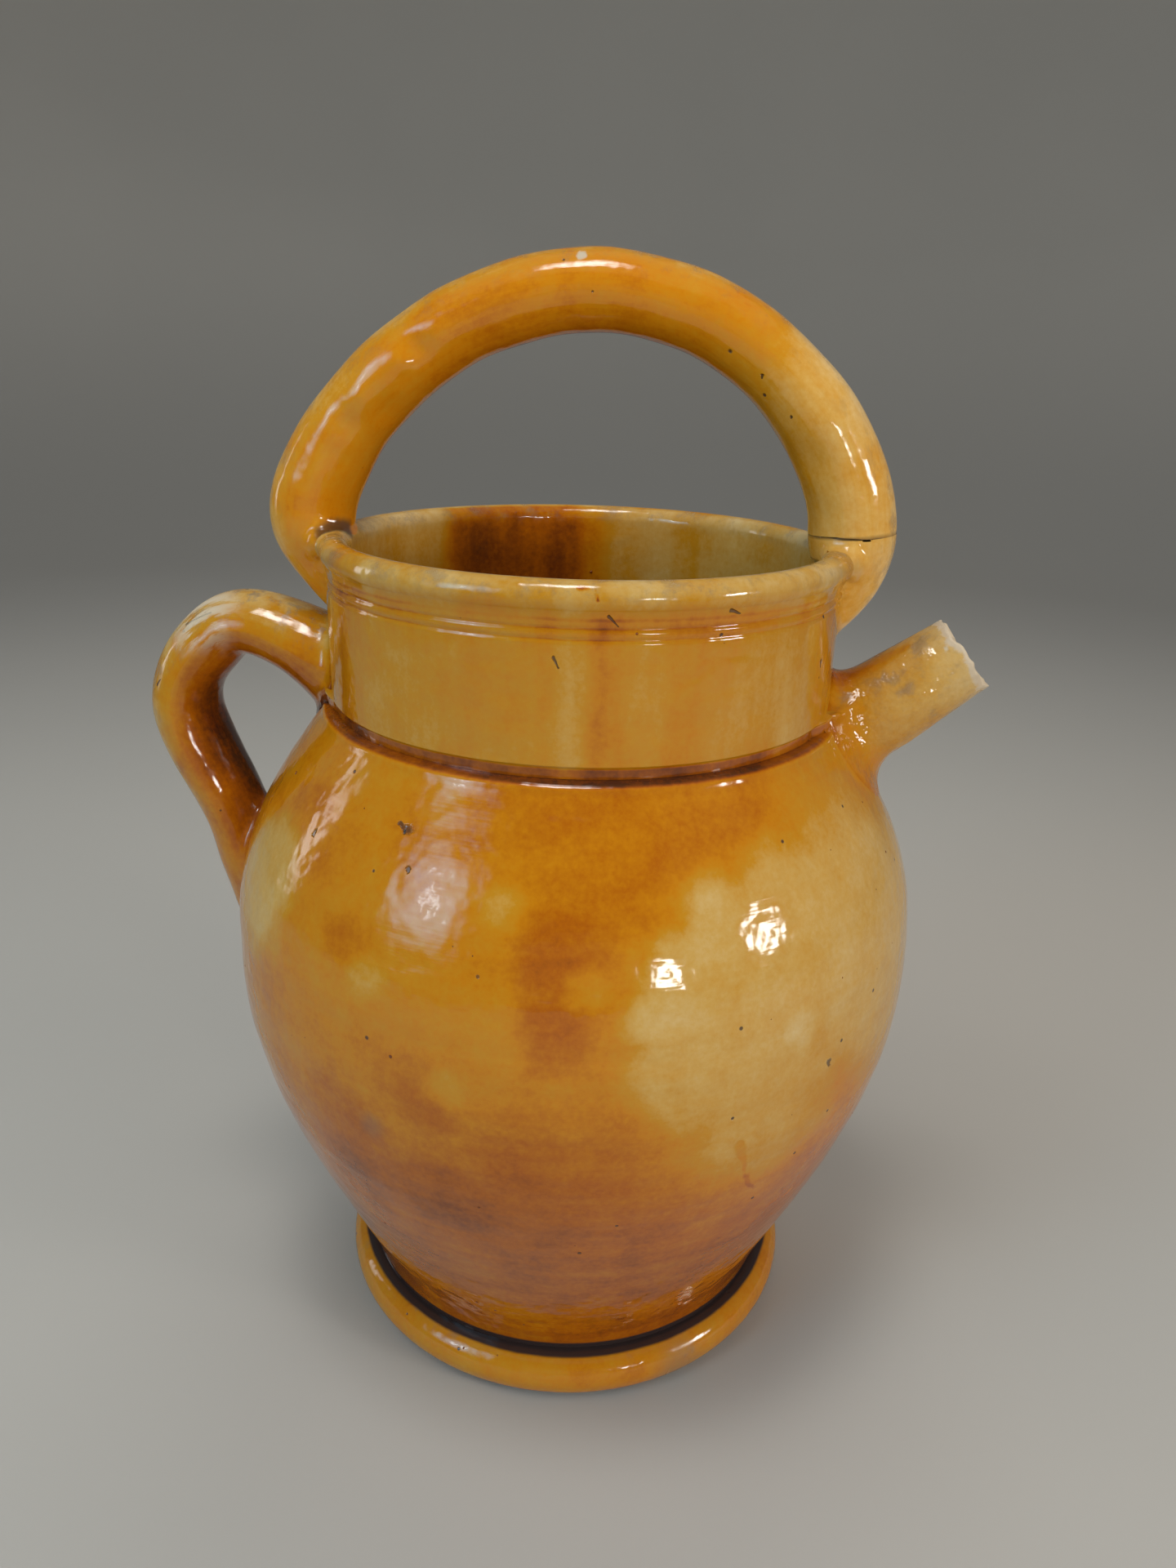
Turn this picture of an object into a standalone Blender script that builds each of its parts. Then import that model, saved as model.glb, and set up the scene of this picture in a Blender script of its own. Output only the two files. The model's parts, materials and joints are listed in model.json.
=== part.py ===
"""Glazed ceramic water jug with a basket handle, a side handle and a short broken spout.

Metres, +Z up. The origin is the centre of the base, +X points to the spout and -X to the side handle.
The potter's pieces stay separate: the thrown belly, collar and foot ring, the pulled handles,
the wads that carry the basket handle's feet, and the spout.
"""

import math

import bmesh
import bpy
from mathutils import Vector

# Joints between the potter's pieces
SLIP_GAP = 0.0003

# Foot ring and the stem that it is rolled around
FOOT_HEIGHT = 0.0122
FOOT_RING_WIDTH = 0.0058
STEM_RADIUS = 0.0568

# Belly
FLOOR_THICKNESS = 0.008
BELLY_WALL = 0.006
BELLY_RADIUS = 0.0869
BELLY_HEIGHT = 0.1067
BELLY_FULLNESS = 1.22
SHOULDER_HEIGHT = 0.1679
SHOULDER_LEDGE = 0.0018
SHOULDER_SWELL = 2.5
SHOULDER_FLARE = 1.28

# Collar, its groove and its rolled rim
NECK_RADIUS = 0.0614
NECK_WALL = 0.0055
NECK_HEIGHT = 0.0404
GROOVE_DEPTH = 0.0012
GROOVE_WIDTH = 0.002
RIM_OVERHANG = 0.0014
RIM_DEPTH = 0.007
RIM_TUCK = math.radians(40)

# Basket handle over the mouth
BAIL_RISE = 0.0538
BAIL_STANDOFF = 0.0038
BAIL_CROWN_THICKNESS = 0.0174
BAIL_FOOT_THICKNESS = 0.0205
BAIL_WIDTH = 0.021
BAIL_SHAPE = 1.75
BAIL_SHIFT = -0.0018
BAIL_LEAN = 0.0036
BAIL_LEAD = 0.002

# Wads under the basket handle's feet
ROOT_TIP_THICKNESS = 0.008
ROOT_SPACE = 0.001
ROOT_BURY = 0.002
ROOT_MIDDLE_STANDOFF = 0.0039

# Side handle, standing out from the collar and running down on to the belly
HANDLE_THICKNESS = 0.0168
HANDLE_WIDTH = 0.022
HANDLE_ROOT_THICKNESS = 0.0212
HANDLE_TAIL_THICKNESS = 0.015
HANDLE_TIP_THICKNESS = 0.010
HANDLE_BURY = 0.006
HANDLE_ROOT_RISE = 0.004
HANDLE_CROWN_OUT = 0.0206
HANDLE_CROWN_RISE = 0.0154
HANDLE_CORNER_OUT = 0.0084
HANDLE_CORNER_RISE = 0.0092
HANDLE_REACH = 0.0154
HANDLE_BEND_DROP = 0.0075
HANDLE_LANDING_OUT = 0.0084
HANDLE_LANDING_DROP = 0.0352
HANDLE_TAIL_SINK = 0.0019
HANDLE_TAIL_DROP = 0.0632
HANDLE_TIP_SINK = 0.006
HANDLE_TIP_DROP = 0.0752

# Spout, its axis crossing the wall just below the shoulder's top edge
SPOUT_DROP = 0.0052
SPOUT_ANGLE = math.radians(37.4)
SPOUT_LENGTH = 0.0335
SPOUT_TIP_RADIUS = 0.01
SPOUT_ROOT_RADIUS = 0.0115
SPOUT_FLARE = 0.0055
SPOUT_FLARE_LENGTH = 0.013
SPOUT_TAPER_LENGTH = 0.0215
SPOUT_BURY = 0.010
SPOUT_BORE_RADIUS = 0.005

# Fineness of the faceted surfaces
TURN_STEPS = 60
BELLY_ROWS = 12
SHOULDER_ROWS = 10
ROUND_ROWS = 10
SPOUT_STEPS = 28
TUBE_ROUNDNESS = 6
BAIL_SPANS = 28
SPANS_PER_KNOT = 6
BORE_REACH_WALLS = 3
MERGE = 0.00001

# Sizes that follow from those above
RIM_HEIGHT = SHOULDER_HEIGHT + NECK_HEIGHT
NECK_INSIDE = NECK_RADIUS - NECK_WALL
RIM_RADIUS = NECK_RADIUS + RIM_OVERHANG
SHOULDER_RADIUS = NECK_RADIUS + SHOULDER_LEDGE

GLAZE_COLOURS = {
    "belly": (0.48, 0.22, 0.030),
    "neck_collar": (0.46, 0.22, 0.034),
    "foot_ring": (0.50, 0.19, 0.020),
    "basket_handle": (0.47, 0.20, 0.026),
    "handle_root_left": (0.45, 0.21, 0.034),
    "handle_root_right": (0.45, 0.21, 0.034),
    "side_handle": (0.43, 0.20, 0.034),
    "spout": (0.46, 0.24, 0.060),
}
GLAZE_ROUGHNESS = 0.18


def belly_outside(height):
    """Outer radius of the belly between the foot ring and the shoulder's top edge."""
    if height <= BELLY_HEIGHT:
        share = max(0.0, (height - FOOT_HEIGHT) / (BELLY_HEIGHT - FOOT_HEIGHT))
        swell = math.sin(share * math.pi / 2) ** BELLY_FULLNESS
        return STEM_RADIUS + (BELLY_RADIUS - STEM_RADIUS) * swell
    share = min(1.0, (height - BELLY_HEIGHT) / (SHOULDER_HEIGHT - BELLY_HEIGHT))
    fall = 1.0 - (1.0 - share ** SHOULDER_SWELL) ** SHOULDER_FLARE
    return BELLY_RADIUS - (BELLY_RADIUS - SHOULDER_RADIUS) * fall


def belly_offset(height, distance):
    """Radius of the surface that lies a distance outside the belly, measured square to its wall."""
    reach = BELLY_WALL / 2
    low = max(FOOT_HEIGHT, height - reach)
    high = min(SHOULDER_HEIGHT, height + reach)
    lean = (belly_outside(high) - belly_outside(low)) / max(high - low, MERGE)
    return belly_outside(height) + distance * math.sqrt(1.0 + lean * lean)


def spread(start, end, count):
    """Evenly spaced values, with both ends."""
    return [start + (end - start) * step / count for step in range(count + 1)]


def belly_rows():
    """Heights of the belly's rings from the shoulder down to the foot ring."""
    shoulder = spread(SHOULDER_HEIGHT, BELLY_HEIGHT, SHOULDER_ROWS)
    return shoulder + spread(BELLY_HEIGHT, FOOT_HEIGHT, BELLY_ROWS)[1:]


def glaze(name):
    """The piece's own glazed finish."""
    material = bpy.data.materials.new(name + "_glaze")
    material.use_nodes = True
    shader = material.node_tree.nodes["Principled BSDF"]
    shader.inputs["Base Color"].default_value = GLAZE_COLOURS[name] + (1.0,)
    shader.inputs["Roughness"].default_value = GLAZE_ROUGHNESS
    shader.inputs["Metallic"].default_value = 0.0
    return material


def new_collection(name):
    collection = bpy.data.collections.new(name)
    bpy.context.scene.collection.children.link(collection)
    return collection


def add_piece(name, mesh):
    """Links a sub-part, with its own glaze, under the jug's reference point."""
    piece = bpy.data.objects.new(name, mesh)
    parts.objects.link(piece)
    piece.parent = reference
    mesh.materials.append(glaze(name))
    return piece


def add_cutter(name, mesh):
    cutter = bpy.data.objects.new(name, mesh)
    cutters.objects.link(cutter)
    cutter.hide_render = True
    cutter.display_type = "WIRE"
    return cutter


def profile_mesh(name, profile, closed):
    """Edges through (radius, height) points, to be turned about Z."""
    mesh = bpy.data.meshes.new(name)
    count = len(profile)
    edges = [(index, index + 1) for index in range(count - 1)]
    if closed:
        edges.append((count - 1, 0))
    mesh.from_pydata([(radius, 0.0, height) for radius, height in profile], edges, [])
    return mesh


def turn(piece, steps):
    """Turns a profile that runs down its outer side into a solid."""
    screw = piece.modifiers.new("turned", "SCREW")
    screw.axis = "Z"
    screw.steps = steps
    screw.render_steps = steps
    screw.use_merge_vertices = True
    screw.merge_threshold = MERGE
    screw.use_smooth_shade = True


def cut(piece, cutter):
    boolean = piece.modifiers.new("cut_by_" + cutter.name, "BOOLEAN")
    boolean.operation = "DIFFERENCE"
    boolean.solver = "EXACT"
    boolean.object = cutter


def tube_mesh(name, path, width_ratio):
    """A handle swept along (x, z, thickness) points in the XZ plane, broadened across that plane."""
    data = bpy.data.curves.new(name + "_path", "CURVE")
    data.dimensions = "3D"
    data.bevel_depth = path[0][2] / 2
    data.bevel_resolution = TUBE_ROUNDNESS
    data.use_fill_caps = True
    spline = data.splines.new("POLY")
    spline.points.add(len(path) - 1)
    for point, (x, z, thickness) in zip(spline.points, path):
        point.co = (x, 0.0, z, 1.0)
        point.radius = thickness / path[0][2]
    guide = bpy.data.objects.new(name + "_path", data)
    cutters.objects.link(guide)
    depsgraph = bpy.context.evaluated_depsgraph_get()
    mesh = bpy.data.meshes.new_from_object(guide.evaluated_get(depsgraph))
    mesh.name = name
    work = bmesh.new()
    work.from_mesh(mesh)
    work.transform(guide.matrix_world)
    bmesh.ops.remove_doubles(work, verts=work.verts, dist=MERGE)
    for vertex in work.verts:
        vertex.co.y *= width_ratio
    work.to_mesh(mesh)
    work.free()
    bpy.data.objects.remove(guide)
    mesh.shade_smooth()
    return mesh


def smooth_path(knots):
    """Points along a Catmull-Rom curve through the knots."""
    ends = [knots[0] * 2 - knots[1]] + knots + [knots[-1] * 2 - knots[-2]]
    points = []
    for before, start, end, after in zip(ends, ends[1:], ends[2:], ends[3:]):
        for step in range(SPANS_PER_KNOT):
            t = step / SPANS_PER_KNOT
            points.append(
                start
                + (end - before) * (t / 2)
                + (before * 2 - start * 5 + end * 4 - after) * (t * t / 2)
                + (start * 3 - before - end * 3 + after) * (t ** 3 / 2)
            )
    return points + [knots[-1]]


def make_belly():
    """Thrown belly: one wall on a flat floor, open at the shoulder."""
    rows = belly_rows()
    inside_rows = [height for height in reversed(rows) if height > FLOOR_THICKNESS]
    inside = [(belly_offset(height, -BELLY_WALL), height) for height in inside_rows]
    outside = [(belly_outside(height), height) for height in rows]
    corner = belly_offset(FLOOR_THICKNESS, -BELLY_WALL)
    floor = [(0.0, FLOOR_THICKNESS), (corner, FLOOR_THICKNESS)]
    underside = [(STEM_RADIUS, 0.0), (0.0, 0.0)]
    piece = add_piece("belly", profile_mesh("belly", floor + inside + outside + underside, False))
    turn(piece, TURN_STEPS)
    return piece


def make_foot_ring():
    """Half-round ring rolled about the stem, with its flat side against it."""
    inside = STEM_RADIUS + SLIP_GAP
    half = FOOT_HEIGHT / 2
    profile = []
    for angle in spread(math.pi / 2, -math.pi / 2, ROUND_ROWS):
        profile.append((inside + FOOT_RING_WIDTH * math.cos(angle), half + half * math.sin(angle)))
    turn(add_piece("foot_ring", profile_mesh("foot_ring", profile, True)), TURN_STEPS)


def make_neck_collar():
    """Thrown collar with a grooved lower edge and a rolled rim."""
    middle = (NECK_INSIDE + RIM_RADIUS) / 2
    half_width = (RIM_RADIUS - NECK_INSIDE) / 2
    half_depth = RIM_DEPTH / 2
    centre = RIM_HEIGHT - half_depth
    bottom = SHOULDER_HEIGHT + SLIP_GAP
    roll = []
    for angle in spread(math.pi, -RIM_TUCK, ROUND_ROWS):
        roll.append((middle + half_width * math.cos(angle), centre + half_depth * math.sin(angle)))
    wall = [
        (NECK_RADIUS, RIM_HEIGHT - RIM_DEPTH),
        (NECK_RADIUS, bottom + GROOVE_WIDTH),
        (NECK_RADIUS - GROOVE_DEPTH, bottom),
        (NECK_INSIDE, bottom),
    ]
    piece = add_piece("neck_collar", profile_mesh("neck_collar", roll + wall, True))
    turn(piece, TURN_STEPS)
    return piece


def make_body_cutter():
    """The outside of belly, collar and rim, grown by the joint gap, for pieces luted on to them."""
    under_rim = RIM_HEIGHT - RIM_DEPTH - SLIP_GAP
    top = RIM_HEIGHT + BAIL_RISE
    profile = [
        (0.0, top),
        (RIM_RADIUS + SLIP_GAP, top),
        (RIM_RADIUS + SLIP_GAP, under_rim),
        (NECK_RADIUS + SLIP_GAP, under_rim),
        (NECK_RADIUS + SLIP_GAP, SHOULDER_HEIGHT + SLIP_GAP),
        (belly_offset(SHOULDER_HEIGHT, SLIP_GAP), SHOULDER_HEIGHT + SLIP_GAP),
    ]
    profile += [(belly_offset(height, SLIP_GAP), height) for height in belly_rows()]
    profile.append((0.0, FOOT_HEIGHT))
    cutter = add_cutter("grown_body", profile_mesh("grown_body", profile, False))
    turn(cutter, TURN_STEPS)
    return cutter


def bail_foot_x(side):
    """Where a foot of the basket handle stands; the handle sits a little off centre."""
    return side * (NECK_RADIUS + BAIL_STANDOFF) + BAIL_SHIFT


def bail_width_ratio():
    return BAIL_WIDTH / BAIL_CROWN_THICKNESS


def make_basket_handle():
    """Pulled handle arching over the mouth, its feet cut level with the rim."""
    foot_z = RIM_HEIGHT + SLIP_GAP
    spring_z = foot_z + BAIL_LEAD
    rise = BAIL_RISE - BAIL_LEAD
    power = 2 / BAIL_SHAPE
    half_span = NECK_RADIUS + BAIL_STANDOFF
    path = [(bail_foot_x(-1), foot_z, BAIL_FOOT_THICKNESS)]
    for angle in spread(math.pi, 0.0, BAIL_SPANS):
        across = math.copysign(abs(math.cos(angle)) ** power, math.cos(angle))
        lift = abs(math.sin(angle)) ** power
        thickness = BAIL_FOOT_THICKNESS + (BAIL_CROWN_THICKNESS - BAIL_FOOT_THICKNESS) * lift
        across_x = BAIL_SHIFT + half_span * across + BAIL_LEAN * lift
        path.append((across_x, spring_z + rise * lift, thickness))
    path.append((bail_foot_x(1), foot_z, BAIL_FOOT_THICKNESS))
    add_piece("basket_handle", tube_mesh("basket_handle", path, bail_width_ratio()))


def side_handle_path():
    """Centre and thickness of the side handle as (distance from the axis, height, thickness)."""
    landing_z = SHOULDER_HEIGHT - HANDLE_LANDING_DROP
    tail_z = SHOULDER_HEIGHT - HANDLE_TAIL_DROP
    tip_z = SHOULDER_HEIGHT - HANDLE_TIP_DROP
    return smooth_path([
        Vector((NECK_RADIUS - HANDLE_BURY, SHOULDER_HEIGHT + HANDLE_ROOT_RISE, HANDLE_ROOT_THICKNESS)),
        Vector((NECK_RADIUS + HANDLE_CROWN_OUT, SHOULDER_HEIGHT + HANDLE_CROWN_RISE, HANDLE_THICKNESS)),
        Vector((BELLY_RADIUS + HANDLE_CORNER_OUT, SHOULDER_HEIGHT + HANDLE_CORNER_RISE, HANDLE_THICKNESS)),
        Vector((BELLY_RADIUS + HANDLE_REACH, SHOULDER_HEIGHT - HANDLE_BEND_DROP, HANDLE_THICKNESS)),
        Vector((belly_outside(landing_z) + HANDLE_LANDING_OUT, landing_z, HANDLE_THICKNESS)),
        Vector((belly_outside(tail_z) - HANDLE_TAIL_SINK, tail_z, HANDLE_TAIL_THICKNESS)),
        Vector((belly_outside(tip_z) - HANDLE_TIP_SINK, tip_z, HANDLE_TIP_THICKNESS)),
    ])


def make_side_handle(body_cutter):
    """Pulled ear handle, saddled on to the collar and the belly."""
    path = [(-out, height, thickness) for out, height, thickness in side_handle_path()]
    mesh = tube_mesh("side_handle", path, HANDLE_WIDTH / HANDLE_THICKNESS)
    cut(add_piece("side_handle", mesh), body_cutter)


def root_tip_height():
    """Lowest height for a wad's tip that still clears the side handle's top where it meets the collar."""
    near_collar = NECK_RADIUS + ROOT_TIP_THICKNESS / 2
    tops = [height + thickness / 2 for out, height, thickness in side_handle_path() if out < near_collar]
    return max(tops) + ROOT_SPACE + ROOT_TIP_THICKNESS / 2


def make_handle_root(name, side, body_cutter):
    """Wad between a foot of the basket handle and the collar, level with the rim on top."""
    top = side * bail_foot_x(side)
    tip_z = root_tip_height()
    lead_z = RIM_HEIGHT - BAIL_LEAD
    middle = Vector((
        NECK_RADIUS + ROOT_MIDDLE_STANDOFF,
        (lead_z + tip_z) / 2,
        (BAIL_FOOT_THICKNESS + ROOT_TIP_THICKNESS) / 2,
    ))
    knots = [
        Vector((top, lead_z, BAIL_FOOT_THICKNESS)),
        middle,
        Vector((NECK_RADIUS - ROOT_BURY, tip_z, ROOT_TIP_THICKNESS)),
    ]
    path = [Vector((top, RIM_HEIGHT, BAIL_FOOT_THICKNESS))] + smooth_path(knots)
    path = [(side * out, height, thickness) for out, height, thickness in path]
    cut(add_piece(name, tube_mesh(name, path, bail_width_ratio())), body_cutter)


def place_on_spout_axis(piece):
    """Stands a piece made along its own Z on the spout's axis, at the outside of the wall."""
    wall_z = SHOULDER_HEIGHT - SPOUT_DROP
    piece.location = (belly_outside(wall_z), 0.0, wall_z)
    piece.rotation_euler = (0.0, math.pi / 2 - SPOUT_ANGLE, 0.0)


def spout_outside(along):
    """Outer radius of the spout at a distance along its axis from the wall."""
    taper = (SPOUT_LENGTH - along) / SPOUT_TAPER_LENGTH
    radius = SPOUT_TIP_RADIUS + (SPOUT_ROOT_RADIUS - SPOUT_TIP_RADIUS) * min(1.0, taper)
    flare = max(0.0, (SPOUT_FLARE_LENGTH - along) / SPOUT_FLARE_LENGTH)
    return radius + SPOUT_FLARE * min(1.0, flare) ** 2


def make_spout(body_cutter):
    """Tapered tube flared on to the shoulder, its bore running through."""
    stations = spread(SPOUT_LENGTH, -SPOUT_BURY, ROUND_ROWS)
    profile = [(spout_outside(along), along) for along in stations]
    profile += [(SPOUT_BORE_RADIUS, -SPOUT_BURY), (SPOUT_BORE_RADIUS, SPOUT_LENGTH)]
    piece = add_piece("spout", profile_mesh("spout", profile, True))
    turn(piece, SPOUT_STEPS)
    place_on_spout_axis(piece)
    cut(piece, body_cutter)


def make_bore_cutter():
    """Rod along the spout's axis that opens the wall behind it."""
    reach = BELLY_WALL * BORE_REACH_WALLS
    profile = [(0.0, reach), (SPOUT_BORE_RADIUS, reach), (SPOUT_BORE_RADIUS, -reach), (0.0, -reach)]
    cutter = add_cutter("spout_bore", profile_mesh("spout_bore", profile, False))
    turn(cutter, SPOUT_STEPS)
    place_on_spout_axis(cutter)
    return cutter


for old in list(bpy.data.objects):
    bpy.data.objects.remove(old)

parts = new_collection("ceramic_jug")
cutters = new_collection("jug_cutters")
reference = bpy.data.objects.new("jug_reference", None)
parts.objects.link(reference)

grown_body = make_body_cutter()
spout_bore = make_bore_cutter()
cut(make_belly(), spout_bore)
cut(make_neck_collar(), spout_bore)
make_foot_ring()
make_basket_handle()
make_handle_root("handle_root_left", -1, grown_body)
make_handle_root("handle_root_right", 1, grown_body)
make_side_handle(grown_body)
make_spout(grown_body)
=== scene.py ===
# %% [markdown]
# # A honey-glazed jug
#
# The jug is earthenware: a thrown belly, a thrown collar, a rolled foot ring, a pulled basket handle on
# two wads of clay, a pulled side handle and a small spout, all stuck together with slip and glazed as one.
# The packed solids give the place and the size of each piece. This lesson makes a finer skin for every
# one of them and mixes a lead glaze that changes colour with its thickness.

# %% Load the frame
import json
import math

import bmesh
import bpy
import numpy as np
from mathutils import Matrix, Vector
from mathutils.kdtree import KDTree

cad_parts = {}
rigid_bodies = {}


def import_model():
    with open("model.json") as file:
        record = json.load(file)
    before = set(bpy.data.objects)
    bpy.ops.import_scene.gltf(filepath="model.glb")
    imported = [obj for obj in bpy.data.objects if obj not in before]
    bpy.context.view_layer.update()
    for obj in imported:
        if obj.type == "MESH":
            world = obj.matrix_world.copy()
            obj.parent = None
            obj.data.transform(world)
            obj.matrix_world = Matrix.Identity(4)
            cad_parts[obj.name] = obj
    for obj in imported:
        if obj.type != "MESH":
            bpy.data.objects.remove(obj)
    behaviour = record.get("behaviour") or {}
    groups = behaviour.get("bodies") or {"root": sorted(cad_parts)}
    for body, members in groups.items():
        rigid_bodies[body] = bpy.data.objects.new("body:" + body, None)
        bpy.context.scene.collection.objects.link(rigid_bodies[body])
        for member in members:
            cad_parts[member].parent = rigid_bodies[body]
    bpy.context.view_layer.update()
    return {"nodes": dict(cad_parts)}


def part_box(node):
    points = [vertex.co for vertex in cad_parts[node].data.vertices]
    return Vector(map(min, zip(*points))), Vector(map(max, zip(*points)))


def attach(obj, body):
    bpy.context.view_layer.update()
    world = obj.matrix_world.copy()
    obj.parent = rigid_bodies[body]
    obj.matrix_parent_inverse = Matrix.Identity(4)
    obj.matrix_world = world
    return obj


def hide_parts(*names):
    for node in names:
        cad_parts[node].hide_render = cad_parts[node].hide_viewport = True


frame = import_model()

print("solids:", sorted(frame["nodes"]))

# %% [markdown]
# ## Sizes
#
# A potter measures a jug by a few sizes: how high the shoulder and the rim stand, how wide the belly is.
# Those are read from the solids, so the skin can't drift away from them. The few that a box doesn't
# show, such as how full the belly is, are repeated here by name.

# %% Sizes of the thrown body
MM = 0.001
SHOULDER_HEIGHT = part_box("belly")[1].z
BELLY_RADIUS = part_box("belly")[1].x
RIM_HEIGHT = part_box("neck_collar")[1].z
RIM_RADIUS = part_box("neck_collar")[1].x
FOOT_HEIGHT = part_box("foot_ring")[1].z
FOOT_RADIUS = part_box("foot_ring")[1].x
STEM_RADIUS = 56.8 * MM
BELLY_HEIGHT = 106.7 * MM
BELLY_WALL = 6.0 * MM
FLOOR_THICKNESS = 8.0 * MM
NECK_RADIUS = 61.4 * MM
NECK_INSIDE = 55.9 * MM
RIM_DEPTH = 7.0 * MM
SHOULDER_RADIUS = NECK_RADIUS + 1.8 * MM
BELLY_FULLNESS = 1.22
SHOULDER_SWELL = 2.5
SHOULDER_FLARE = 1.28
RIM_MIDDLE = (NECK_INSIDE + RIM_RADIUS) / 2
RIM_HALF = (RIM_RADIUS - NECK_INSIDE) / 2
RIM_CENTRE = RIM_HEIGHT - RIM_DEPTH / 2


def belly_radius(height):
    """Outer radius of the belly: it swells from the stem, then falls in to the shoulder."""
    low = np.clip((height - FOOT_HEIGHT) / (BELLY_HEIGHT - FOOT_HEIGHT), 0, 1)
    high = np.clip((height - BELLY_HEIGHT) / (SHOULDER_HEIGHT - BELLY_HEIGHT), 0, 1)
    swell = np.sin(low * np.pi / 2) ** BELLY_FULLNESS
    fall = 1 - (1 - high ** SHOULDER_SWELL) ** SHOULDER_FLARE
    return STEM_RADIUS + (BELLY_RADIUS - STEM_RADIUS) * swell - (BELLY_RADIUS - SHOULDER_RADIUS) * fall


print("belly radius at half height:", round(float(belly_radius(SHOULDER_HEIGHT / 2)), 4))

# %% [markdown]
# ## Writing shaders as sums
#
# A glaze is worked out from many small masks, and wiring each Math node by hand hides the idea. The class
# below wraps one socket. Adding, subtracting or multiplying two of them adds the Math node, and its
# `node` method makes every other kind of node from its settings and its sockets.

# %% A socket that does sums
def set_stops(ramp, stops):
    """Places the colour stops of a ramp, which starts out with two."""
    while len(ramp.elements) < len(stops):
        ramp.elements.new(0.5)
    for element, (position, colour) in zip(ramp.elements, stops):
        element.position = position
        element.color = (*colour, 1)


def add_node(tree, kind, settings, sockets):
    """A new node in a tree: settings first, then the values or links of its sockets."""
    made = tree.nodes.new(kind)
    for name, value in (settings or {}).items():
        if name == "stops":
            set_stops(made.color_ramp, value)
        else:
            setattr(made, name, value)
    for name, value in (sockets or {}).items():
        if isinstance(value, bpy.types.NodeSocket):
            tree.links.new(value, made.inputs[name])
        else:
            made.inputs[name].default_value = value
    return made


class Ink:
    """One shader socket, ready for Python arithmetic."""

    def __init__(self, tree, socket):
        self.tree = tree
        self.socket = socket

    def node(self, kind, settings=None, sockets=None, output=0):
        """A new node from its type, its settings and the values or links of its sockets."""
        plain = {name: getattr(value, "socket", value) for name, value in (sockets or {}).items()}
        return Ink(self.tree, add_node(self.tree, kind, settings, plain).outputs[output])

    def sum(self, operation, first, second):
        return self.node("ShaderNodeMath", {"operation": operation}, {0: first, 1: second})

    def __add__(self, other):
        return self.sum("ADD", self, other)

    def __sub__(self, other):
        return self.sum("SUBTRACT", self, other)

    def __rsub__(self, other):
        return self.sum("SUBTRACT", other, self)

    def __mul__(self, other):
        return self.sum("MULTIPLY", self, other)

    __radd__ = __add__
    __rmul__ = __mul__


print("Ink knows:", [name for name in vars(Ink) if not name.startswith("__")])

# %% [markdown]
# ## Brushes
#
# A few brushes paint everything that follows: a soft step between two values, noise, a round dab, a line
# stroke, a mix of two colours, and a painted attribute of the mesh. Dabs are placed as a decorator would
# say it: so many degrees round from the front, at such a height. Places are vectors, so their sums go
# through Vector Math.

# %% Brushes for masks
def soft_step(value, start, end):
    """0 before start, 1 after end, smooth between. Start may be the larger."""
    sockets = {"Value": value, "From Min": start, "From Max": end}
    return value.node("ShaderNodeMapRange", {"interpolation_type": "SMOOTHSTEP"}, sockets)


def noise(place, scale, detail=2.0, roughness=0.5, stretch=(1, 1, 1)):
    """Smooth noise from 0 to 1, about 0.5. Scale is in waves per metre."""
    if stretch != (1, 1, 1):
        place = place.node("ShaderNodeMapping", {}, {"Vector": place, "Scale": stretch})
    sockets = {"Vector": place, "Scale": scale, "Detail": detail, "Roughness": roughness}
    return place.node("ShaderNodeTexNoise", {}, sockets)


def vector_sum(operation, first, second, output=0):
    """A Vector Math node on a place and another place or a plain vector."""
    return first.node("ShaderNodeVectorMath", {"operation": operation}, {0: first, 1: second}, output)


def along_axis(place, axis):
    """The x, y or z of a place, for axis 0, 1 or 2."""
    return place.node("ShaderNodeSeparateXYZ", {}, {0: place}, axis)


def on_body(degrees, height_mm, outside=0.0):
    """The point on the belly or collar that far round from the front, towards the spout."""
    height = height_mm * MM
    radius = NECK_RADIUS if height > SHOULDER_HEIGHT else float(belly_radius(height))
    turn = math.radians(degrees)
    return ((radius + outside) * math.sin(turn), -(radius + outside) * math.cos(turn), height)


def dab(place, centre, radius_mm, edge=0.5):
    """A round mask with a soft edge, 1 in its middle."""
    far = vector_sum("DISTANCE", place, centre, 1)
    return soft_step(far, radius_mm * MM * (1 + edge), radius_mm * MM * (1 - edge))


def millimetres(*point):
    """A point given in millimetres, in metres."""
    return tuple(value * MM for value in point)


def stroke(place, start, end, half_mm, edge=0.4, taper=1.2):
    """A line from start to end, in millimetres, that thins towards its end."""
    start, end = Vector(millimetres(*start)), Vector(millimetres(*end))
    line = end - start
    away = vector_sum("SUBTRACT", place, start)
    along = vector_sum("DOT_PRODUCT", away, line, 1)
    settings = {"operation": "MULTIPLY", "use_clamp": True}
    share = along.node("ShaderNodeMath", settings, {0: along, 1: 1 / line.length_squared})
    foot = place.node("ShaderNodeVectorMath", {"operation": "SCALE"}, {0: line, 3: share})
    apart = vector_sum("DISTANCE", away, foot, 1) * (1 + taper * share)
    return soft_step(apart, half_mm * MM * (1 + edge), half_mm * MM * (1 - edge))


def strokes(place, marks, edge=0.4):
    """Several strokes at once; each mark is start, end and half width in millimetres."""
    total = 0.0
    for start, end, half in marks:
        total = stroke(place, start, end, half, edge) + total
    return total


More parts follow.
